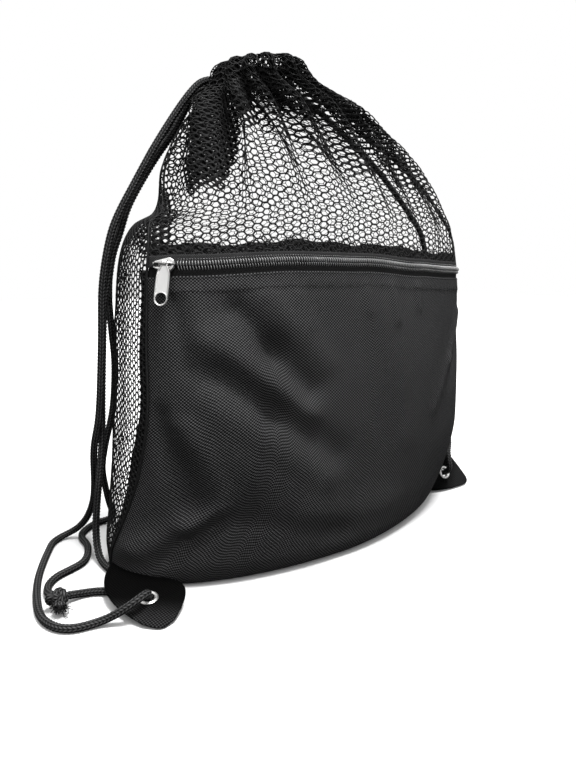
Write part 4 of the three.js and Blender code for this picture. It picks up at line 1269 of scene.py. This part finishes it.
# Plated metal of slider, pull and eyelets
metal = {
    "dull": (0.42, 0.42, 0.41), "bright": (0.86, 0.855, 0.845), "wear": 14.0, "shine": 0.55,
    "roughness": 0.34, "smudge": 0.18, "scratchDepth": 0.000004, "scratchStrength": 0.3,
}
nickel = metalMaterial("plated_nickel", metal)
slider = {
    "place": 0.046,  # share of the zip's length
    "length": 0.014,
    "height": 0.0092,
    "shift": -0.002,
    "base": 0.00085,
    "thickness": 0.0026,
    "bevel": 0.0005,
    "noseInset": 0.0042,
    "tailInset": 0.0026,
    "tailHeight": 0.62,  # share of the nose's
    "slot": 0.0013,
    "lowerLip": 0.94,  # its length as a share of the upper lip's
    "core": {"length": 0.97, "height": 0.8, "thickness": 0.0016, "bevel": 0.0002},
    "pivotOut": 0.00595,
    "pinLength": 0.0058,
    "bridgeWall": 0.0007,
    "bridgeRadius": 0.00075,
    "bridgeFoot": (0.0014, -0.0008),  # past the wall, and from the slider's top
    "bridgeBends": ((0.0004, -0.0014), (-0.0014, 0.0001)),  # past the wall, and from the pivot
}
pull = {
    "length": 0.0275,
    "width": 0.0091,
    "hole": 0.0072,
    "rim": 0.0008,
    "thickness": 0.0013,
    "sheet": 0.5,  # share of the thickness inside the border
    "bevel": 0.00022,
    "sheetBevel": 0.0002,
    "neck": (0.0016, 0.0014),  # half width, and distance below the pivot
    "shoulder": (0.00405, 0.006),
    "inset": 0.8,
    "insetTop": 0.0022,
    "insetLength": 0.93,
    "bead": {"inset": 0.9, "radius": 0.00042},
    "eye": {"radius": 0.0015, "wire": 0.0006, "places": (-0.0011, 0, 0.0011)},
    "lean": 2.0,
    "swing": -6.5,  # degrees in its own plane
    "sharpFrom": 40,  # degrees between faces
}
sliderMiddle = clothPoint("front", slider["place"], zipLevel)
sliderOut = clothNormal("front", slider["place"], zipLevel)
sliderAlong = unit(clothPoint("front", slider["place"] + 0.01, zipLevel)
                   - clothPoint("front", slider["place"] - 0.01, zipLevel))
sliderUp = unit(np.cross(sliderOut, sliderAlong))
sliderOut = np.cross(sliderAlong, sliderUp)
sliderAxes = np.array([sliderAlong, sliderUp, sliderOut]).T
sliderFrame = Matrix.Translation(sliderMiddle) @ Matrix(sliderAxes).to_4x4()


# Plate with rounded edges from flat outlines, the later ones being holes
def plate(outlines, thickness, bevel, middleZ):
    curve = bpy.data.curves.new("outline", "CURVE")
    curve.dimensions = "2D"
    curve.fill_mode = "BOTH"
    curve.extrude = thickness / 2 - bevel
    curve.bevel_depth = bevel
    curve.bevel_resolution = 3
    curve.offset = -bevel
    for outline in outlines:
        spline = curve.splines.new("POLY")
        spline.points.add(len(outline) - 1)
        for point, (x, y) in zip(spline.points, outline):
            point.co = (x, y, 0, 1)
        spline.use_cyclic_u = True
    obj = bpy.data.objects.new("outline", curve)
    mesh = bpy.data.meshes.new_from_object(obj)
    points = np.array([v.co for v in mesh.vertices]) + (0, 0, middleZ)
    faces = [tuple(p.vertices) for p in mesh.polygons]
    bpy.data.objects.remove(obj)
    bpy.data.curves.remove(curve)
    bpy.data.meshes.remove(mesh)
    return points, faces


def arc(x, y, radius, start, stop, count):
    angle = np.radians(np.linspace(start, stop, count))
    return [(x + radius * math.cos(a), y + radius * math.sin(a)) for a in angle]


def placed(parts, matrix):
    points, faces = joinParts(parts)
    turned = points @ np.array(matrix.to_3x3()).T + np.array(matrix.translation)
    return turned, faces


def addSlider():
    halfL, halfH = slider["length"] / 2, slider["height"] / 2
    outline = arc(halfL - slider["noseInset"], 0, halfH, -75, 75, 14)
    outline += arc(-halfL + slider["tailInset"], 0, halfH * slider["tailHeight"], 110, 250, 14)
    outline = [(x + slider["shift"], y) for x, y in outline]
    slot, base, thickness = slider["slot"], slider["base"], slider["thickness"]
    upper = [(x, max(y, slot)) for x, y in outline]
    lower = [(x * slider["lowerLip"], min(y, -slot)) for x, y in outline]
    parts = [plate([lip], thickness, slider["bevel"], base + thickness / 2) for lip in (upper, lower)]
    # Dark tape cloth between the lips: painted shade of the slider's metal inside its slot
    core = slider["core"]
    inside = [(x * core["length"], y * core["height"]) for x, y in outline]
    coreMesh = plate([inside], core["thickness"], core["bevel"], base + core["thickness"] / 2)
    points, faces = placed([coreMesh], sliderFrame)
    settle(addMesh("slider_core_painted_shade", points, faces, tapeBlack, points[:, :2]), "zip_tape")
    ends = slider["pinLength"] / 2 + slider["bridgeWall"]
    rise = [(ends + slider["bridgeFoot"][0], base + thickness + slider["bridgeFoot"][1])]
    rise += [(ends + past, slider["pivotOut"] + above) for past, above in slider["bridgeBends"]]
    bridge = [(-x, 0, z) for x, z in rise] + [(0, 0, rise[-1][1])] + [(x, 0, z) for x, z in rise[::-1]]
    parts.append(tube(smoothLine(bridge, 0.0003, 0.0004), slider["bridgeRadius"], 12)[:2])
    points, faces = placed(parts, sliderFrame)
    return settle(addMesh("slider_body", points, faces, nickel), "plated_metal", "zip_slider")


def addPull():
    half = pull["width"] / 2
    centre = half - pull["length"]
    neck, drop = pull["neck"]
    wide, below = pull["shoulder"]
    outer = [(-neck, -drop), (-wide, -below)] + arc(0, centre, half, 180, 360, 33)
    outer += [(wide, -below), (neck, -drop)]
    hole = arc(0, centre, pull["hole"] / 2, 0, 345, 40)
    rim = arc(0, centre, pull["hole"] / 2 + pull["rim"], 0, 345, 40)

    def insetHeight(y):
        if y < centre:
            return centre + (y - centre) * pull["inset"]
        return (y + drop) * pull["insetLength"] - pull["insetTop"]

    inset = [(x * pull["inset"], insetHeight(y)) for x, y in outer]
    parts = [plate([outer, hole], pull["thickness"] * pull["sheet"], pull["sheetBevel"], 0)]
    borders = ([outer, inset], [rim, hole])
    parts += [plate(border, pull["thickness"], pull["bevel"], 0) for border in borders]
    bead = [(x * pull["bead"]["inset"], y, pull["thickness"] / 2) for x, y in outer]
    parts.append(tube(smoothLine(bead, 0.0005, 0.0003), pull["bead"]["radius"], 8)[:2])
    turn = np.linspace(0, 2 * np.pi, 33)
    eye = pull["eye"]
    ring = np.column_stack([np.zeros(33), eye["radius"] * np.cos(turn), eye["radius"] * np.sin(turn)])
    parts += [tube(ring + (x, 0, 0), eye["wire"], 10)[:2] for x in eye["places"]]
    lean = Matrix.Rotation(math.radians(pull["lean"]), 4, "X")
    lean = lean @ Matrix.Rotation(math.radians(pull["swing"]), 4, "Z")
    matrix = sliderFrame @ Matrix.Translation((0, 0, slider["pivotOut"])) @ lean
    points, faces = placed(parts, matrix)
    return settle(addMesh("pull_tab", points, faces, nickel), "plated_metal", "zip_pull", body="zip_pull")


for made in (addSlider(), addPull()):
    split = made.modifiers.new("edges", "EDGE_SPLIT")
    split.split_angle = math.radians(pull["sharpFrom"])
print("zip made")

# Corner tabs of doubled cloth with their eyelets
tabs = {
    "left": {
        "fromS": 0.010, "fromZ": 0.008, "toS": 0.14, "toZ": 0.007,
        "bends": ((-0.219, -0.047, 0.0110), (-0.147, -0.066, 0.0110)),
        "tips": ((-0.190, -0.087, 0.0012), (-0.180, -0.090, 0.0012)),
        "eyeletAlong": 0.6, "eyeletAcross": 0.5, "flat": (0.056, 0.1),
    },
    "right": {
        "fromS": 0.93, "fromZ": 0.004, "toS": 0.995, "toZ": 0.042,
        "bends": ((0.136, -0.031, 0.0012), (0.1505, -0.018, 0.0265)),
        "tips": ((0.162, -0.026, 0.0012), (0.164, -0.025, 0.005)),
        "eyeletAlong": 0.2, "eyeletAcross": 0.44, "flat": (0.042, 0.072),
    },
}
tabForm = {
    "thickness": 0.002,
    "offset": 0.002,
    "sewnOffset": 0.0009,
    "rows": 60,
    "columns": 44,
    "roundTip": 0.07,
    "rimCells": 3,
    "stitchInset": 0.12,
    "stitchRows": (4, 8),  # left out at the foot and at the tip
    "stitchLift": 0.0011,
    "cut": 0.8,  # area of the cut as a share of its width by its length
    # Painted shade of the bag's bulge over the tab: the pocket's cloth with a darker light colour, and
    # darker still towards its foot
    "light": (0.055, 0.055, 0.056),
    "paintedShade": (-0.002, 0.02, 0.03),
}
tabLook = {**pocket["look"], "light": tabForm["light"], "paintedShade": tabForm["paintedShade"]}
tabBlack = wovenMaterial("tab_black", tabLook)
eyelet = {
    "inner": 0.0038, "outer": 0.0063, "wall": 0.0008, "gap": 0.0004, "crown": 0.0003, "sides": 56,
    "anySide": (0.3, 0.5, 0.8),
}


def tabSurface(tab):
    def foot(u, offset=tabForm["offset"]):
        heights = tab["fromZ"] + (tab["toZ"] - tab["fromZ"]) * u
        levels = np.interp(heights, outerHeights, outerLevels)
        shares = tab["fromS"] + (tab["toS"] - tab["fromS"]) * u
        return offCloth("front", shares, levels, np.full_like(u, offset))

    ends = foot(np.array([0.0, 1.0]))
    bends = np.array(tab["bends"]) + bagOrigin
    tips = np.array(tab["tips"]) + bagOrigin

    def at(t, u):
        t, u = np.broadcast_arrays(np.asarray(t, dtype=float), np.asarray(u, dtype=float))
        k, w = t[..., None], u[..., None]
        edges = [(1 - k) ** 2 * ends[e] + 2 * k * (1 - k) * bends[e] + k * k * tips[e] for e in (0, 1)]
        bulge = foot(u.ravel()).reshape(*u.shape, 3) - ends[0] - (ends[1] - ends[0]) * w
        sewn = (foot(u.ravel(), tabForm["sewnOffset"]) - foot(u.ravel())).reshape(*u.shape, 3)
        return edges[0] + (edges[1] - edges[0]) * w + bulge * (1 - k) ** 2 + sewn * (1 - k) ** 6

    return at


def addTab(name, tab):
    at = tabSurface(tab)
    rows, columns = tabForm["rows"], tabForm["columns"]
    t, u = np.meshgrid(np.linspace(0, 1, rows), np.linspace(0, 1, columns), indexing="ij")
    middle = at(t * (1 - tabForm["roundTip"] * np.abs(2 * u - 1) ** 3), u)
    normal = unit(np.cross(np.gradient(middle, axis=1), np.gradient(middle, axis=0)))
    rim = np.minimum(np.minimum(u, 1 - u) * columns, (1 - t) * rows) / tabForm["rimCells"]
    half = tabForm["thickness"] / 2 * np.sqrt(np.clip(1 - (1 - np.clip(rim, 0, 1)) ** 2, 0.02, 1))
    sides = [middle + normal * half[..., None], middle - normal * half[..., None]]
    along, across = tab["eyeletAlong"], tab["eyeletAcross"]
    centre = at(along, across)
    axis = unit(np.cross(at(along, across + 0.1) - at(along, across - 0.1),
                         at(along + 0.05, across) - at(along - 0.05, across)))
    points = np.vstack([sides[0].reshape(-1, 3), sides[1].reshape(-1, 3)])
    away = np.linalg.norm(middle.reshape(-1, 3) - centre, axis=1)
    clear = eyelet["inner"] + eyelet["wall"]
    top = [f for f in gridFaces(rows, columns) if away[list(f)].min() > clear]
    other = rows * columns
    under = [tuple(i + other for i in f[::-1]) for f in top]
    border = list(range(columns)) + [i * columns + columns - 1 for i in range(1, rows)]
    border += [(rows - 1) * columns + j for j in range(columns - 2, -1, -1)]
    border += [i * columns for i in range(rows - 2, 0, -1)]
    rimFaces = [(a, a + other, b + other, b) for a, b in zip(border, border[1:] + border[:1])]
    acrossTab = unit(at(0.3, 1.0) - at(0.3, 0.0))
    alongTab = unit(np.cross(acrossTab, normal.mean(axis=(0, 1))))
    flat = (middle - centre).reshape(-1, 3)
    alongTab = alongTab * np.sign((at(1.0, 0.5) - centre) @ alongTab)  # towards the tip
    uv = np.stack([flat @ acrossTab, flat @ alongTab], axis=-1)
    obj = addMesh(f"tab_{name}", points, top + under + rimFaces, tabBlack, np.vstack([uv, uv]))
    settle(obj, "pocket_cloth", f"corner_tab_{name}")
    inset = int(tabForm["stitchInset"] * columns)
    low, high = tabForm["stitchRows"]

    def insideEdge(grid):
        return np.vstack([grid[low:-high, inset], grid[-high, inset:-inset], grid[-high:low:-1, -inset]])

    outs = insideEdge(normal)
    stitched = [(insideEdge(middle) + outs * tabForm["stitchLift"], outs)]
    stitches = addStitches(f"tab_stitches_{name}", stitched, "pocket_cloth")
    return centre, axis


# Ring turned from a rolled profile
def addEyelet(name, centre, axis):
    roll = eyelet["wall"] / 2
    low = tabForm["thickness"] / 2 + eyelet["gap"] + roll
    barrel = eyelet["inner"] + roll
    flange = eyelet["outer"] - roll
    crown = eyelet["crown"]
    rim = arc(flange, low - crown, roll, -90, 90, 7)
    rim += [(flange + (barrel - flange) * k, low + roll + crown * math.sin(k * math.pi))
            for k in np.linspace(0.2, 0.8, 5)]
    rim += arc(barrel, low, roll, 90, 180, 6)
    profile = rim + [(reach, -height) for reach, height in rim[::-1]]
    sides = eyelet["sides"]
    turns = (np.arange(sides) * 2 * np.pi / sides)[:, None]
    side = unit(np.cross(axis, eyelet["anySide"]))
    ring = np.cos(turns) * side + np.sin(turns) * np.cross(axis, side)
    points = np.vstack([centre + axis * height + reach * ring for reach, height in profile])
    faces = gridFaces(len(profile), sides, closed=True)
    last = (len(profile) - 1) * sides
    faces += [(last + j, last + (j + 1) % sides, (j + 1) % sides, j) for j in range(sides)]
    return settle(addMesh(f"eyelet_ring_{name}", points, faces, nickel), "plated_metal", f"eyelet_{name}")


for name, tab in tabs.items():
    addEyelet(name, *addTab(name, tab))
print("tabs and eyelets made")

# Overhand knots with frayed tails
knots = {
    "left": {"place": (-0.232, -0.032, 0.0072), "turn": 15,
             "tails": (((-0.0024, -0.009, -0.0014), (-0.0045, -0.016, -0.004)),
                       ((0.001, -0.008, -0.0014), (0.0015, -0.015, -0.0044)))},
    "right": {"place": (0.139, -0.004, 0.0072), "turn": 60,
              "tails": (((0.0054, 0.006, -0.0014), (0.009, 0.012, -0.004)),
                        ((0.008, 0.0014, -0.0016), (0.014, 0.002, -0.0044)))},
}
knotForm = {
    "wide": 0.0018,
    "deep": 0.0014,
    "tall": 0.0026,
    "lift": 0.0006,
    "comesIn": 0.15,  # share of the way left to the knot's middle
    "step": 0.0006,
    "soften": 0.0008,
    "tailSteps": 16,
    "fibres": 46,
    "fibreLength": 0.0026,
    "fibreRadius": 0.00021,
    "fibreFloor": 0.0004,
    "frayed": {"back": 0.001, "start": 0.0009, "bend": 0.0012, "spread": 0.5},
}


# Tight loops of cord, the ends that come in, and tails with frayed fibres
def addKnot(name, knot, comesFrom):
    place = np.array(knot["place"]) + bagOrigin
    turn = np.linspace(0, 2 * np.pi, 160)
    loop = np.column_stack([
        knotForm["wide"] * (np.sin(turn) + 2 * np.sin(2 * turn)),
        knotForm["deep"] * (np.cos(turn) - 2 * np.cos(2 * turn)),
        -knotForm["tall"] * np.sin(3 * turn) + knotForm["lift"],
    ])
    spin = math.radians(knot["turn"])
    spun = np.array([[math.cos(spin), -math.sin(spin), 0], [math.sin(spin), math.cos(spin), 0], [0, 0, 1]])
    lines = [loop @ spun.T + place]
    for cordLine in comesFrom:
        inside = place + (cordLine[0] - place) * knotForm["comesIn"]
        lines.append(smoothLine([cordLine[6], cordLine[0], inside], knotForm["step"], knotForm["soften"]))
    tails = [smoothLine([(0, 0, 0), *tail], knotForm["step"], 0.0)[:knotForm["tailSteps"]] + place
             for tail in knot["tails"]]
    tubes = [tube(line, cords["diameter"] / 2, cords["sides"], braidRelief) for line in lines + tails]
    frayed = knotForm["frayed"]
    for tail in tails:
        ahead = unit(tail[-1] - tail[-4])
        for _ in range(knotForm["fibres"]):
            start = tail[-1] + rng.normal(size=3) * frayed["start"] - ahead * frayed["back"]
            way = ahead + rng.normal(size=3) * frayed["spread"]
            goal = start + way * knotForm["fibreLength"] * (0.5 + rng.random())
            bend = (start + goal) / 2 + rng.normal(size=3) * frayed["bend"]
            path = np.array([start, bend, goal])
            path[:, 2] = np.maximum(path[:, 2], knotForm["fibreFloor"])
            tubes.append(tube(smoothLine(path, knotForm["step"], 0.0), knotForm["fibreRadius"], 5))
    points, faces = joinParts([made[:2] for made in tubes])
    flats = np.vstack([made[2] for made in tubes])
    obj = addMesh(f"overhand_knot_{name}", points, faces, braidBlack, flats)
    return settle(obj, "cord", f"knot_{name}")


comesFrom = {"left": (cordLeftLine, cordLeftLine[::-1]), "right": (cordRightLine,)}
knotPieces = {name: addKnot(name, knot, comesFrom[name]) for name, knot in knots.items()}
print("knots tied")
# Floor, backdrop light and lamps
stage = {
    "size": 8.0,
    "floor": (0.93, 0.93, 0.93),
    "speckle": 0.985,  # darkest share of the floor's colour
    "floorGlow": 0.8,
    "glowFrom": 0.3,
    "glowTo": 0.9,
    "bounce": (0.02, 0.02, 0.02, 1),
    "background": 1.0,
    "zenith": 1.3,
    "horizon": 0.0,
    "skyFrom": 0.15,  # heights in the sky between which it brightens
    "skyTo": 0.95,
    "lamps": [  # name, place, target, size and power
        ("key", (0.1, -0.45, 2.0), (0, 0, 0.15), 0.6, 49),
        ("front", (0.6, -2.0, 0.06), (0.02, 0, 0.05), 0.9, 22),
        ("fill", (-1.9, -1.0, 0.5), (-0.1, 0, 0.2), 1.0, 7),
    ],
}


def addFloor():
    half = stage["size"] / 2
    material, tree, shader = newMaterial("pale_floor")
    speckle = node(tree, "ShaderNodeTexNoise", {"Scale": 40.0, "Detail": 3.0})
    dusty = tuple(stage["speckle"] * c for c in stage["floor"])
    tree.links.new(tinted(tree, dusty, stage["floor"], speckle.outputs["Fac"]), shader.inputs["Base Color"])
    shader.inputs["Roughness"].default_value = 0.9
    place = node(tree, "ShaderNodeTexCoord").outputs["Object"]
    away = node(tree, "ShaderNodeVectorMath", {0: place}, operation="LENGTH").outputs["Value"]
    ends = {"Value": away, "From Min": stage["glowFrom"], "From Max": stage["glowTo"]}
    glow = node(tree, "ShaderNodeMapRange", ends, interpolation_type="SMOOTHSTEP")
    tree.links.new(tinted(tree, (0, 0, 0), (1, 1, 1), glow.outputs[0]), shader.inputs["Emission Color"])
    shader.inputs["Emission Strength"].default_value = stage["floorGlow"]
    # The floor is seen white but throws no light back up
    dark = node(tree, "ShaderNodeBsdfDiffuse", {"Color": stage["bounce"]})
    seen = node(tree, "ShaderNodeLightPath").outputs["Is Camera Ray"]
    either = node(tree, "ShaderNodeMixShader", {0: seen, 1: dark.outputs[0], 2: shader.outputs[0]})
    tree.links.new(either.outputs[0], tree.nodes["Material Output"].inputs["Surface"])
    corners = [(-half, -half, 0), (half, -half, 0), (half, half, 0), (-half, half, 0)]
    floor = addMesh("floor", corners, [(0, 1, 2, 3)], material)


def addLight():
    world = bpy.data.worlds.new("studio")
    world.use_nodes = True
    bpy.context.scene.world = world
    tree = world.node_tree
    back = tree.nodes["Background"]
    seen = node(tree, "ShaderNodeLightPath").outputs["Is Camera Ray"]
    way = node(tree, "ShaderNodeSeparateXYZ", {0: node(tree, "ShaderNodeTexCoord").outputs["Generated"]})
    heights = {"Value": way.outputs["Z"], "From Min": stage["skyFrom"], "From Max": stage["skyTo"],
               "To Min": stage["horizon"], "To Max": stage["zenith"]}
    sky = node(tree, "ShaderNodeMapRange", heights)
    strength = node(tree, "ShaderNodeMix", {0: seen, 2: sky.outputs[0], 3: stage["background"]})
    bpy.context.scene.view_settings.view_transform = "Standard"  # white stays white
    back.inputs["Color"].default_value = (1, 1, 1, 1)
    tree.links.new(strength.outputs[0], back.inputs["Strength"])


def addLamp(name, place, target, size, power):
    data = bpy.data.lights.new(name, "AREA")
    data.shape = "DISK"
    data.size = size
    data.energy = power
    lamp = bpy.data.objects.new(name, data)
    lamp.location = place
    lamp.rotation_euler = (Vector(target) - Vector(place)).to_track_quat("-Z", "Y").to_euler()
    bpy.context.collection.objects.link(lamp)


addFloor()
addLight()
for lamp in stage["lamps"]:
    addLamp(*lamp)
print("stage lit")
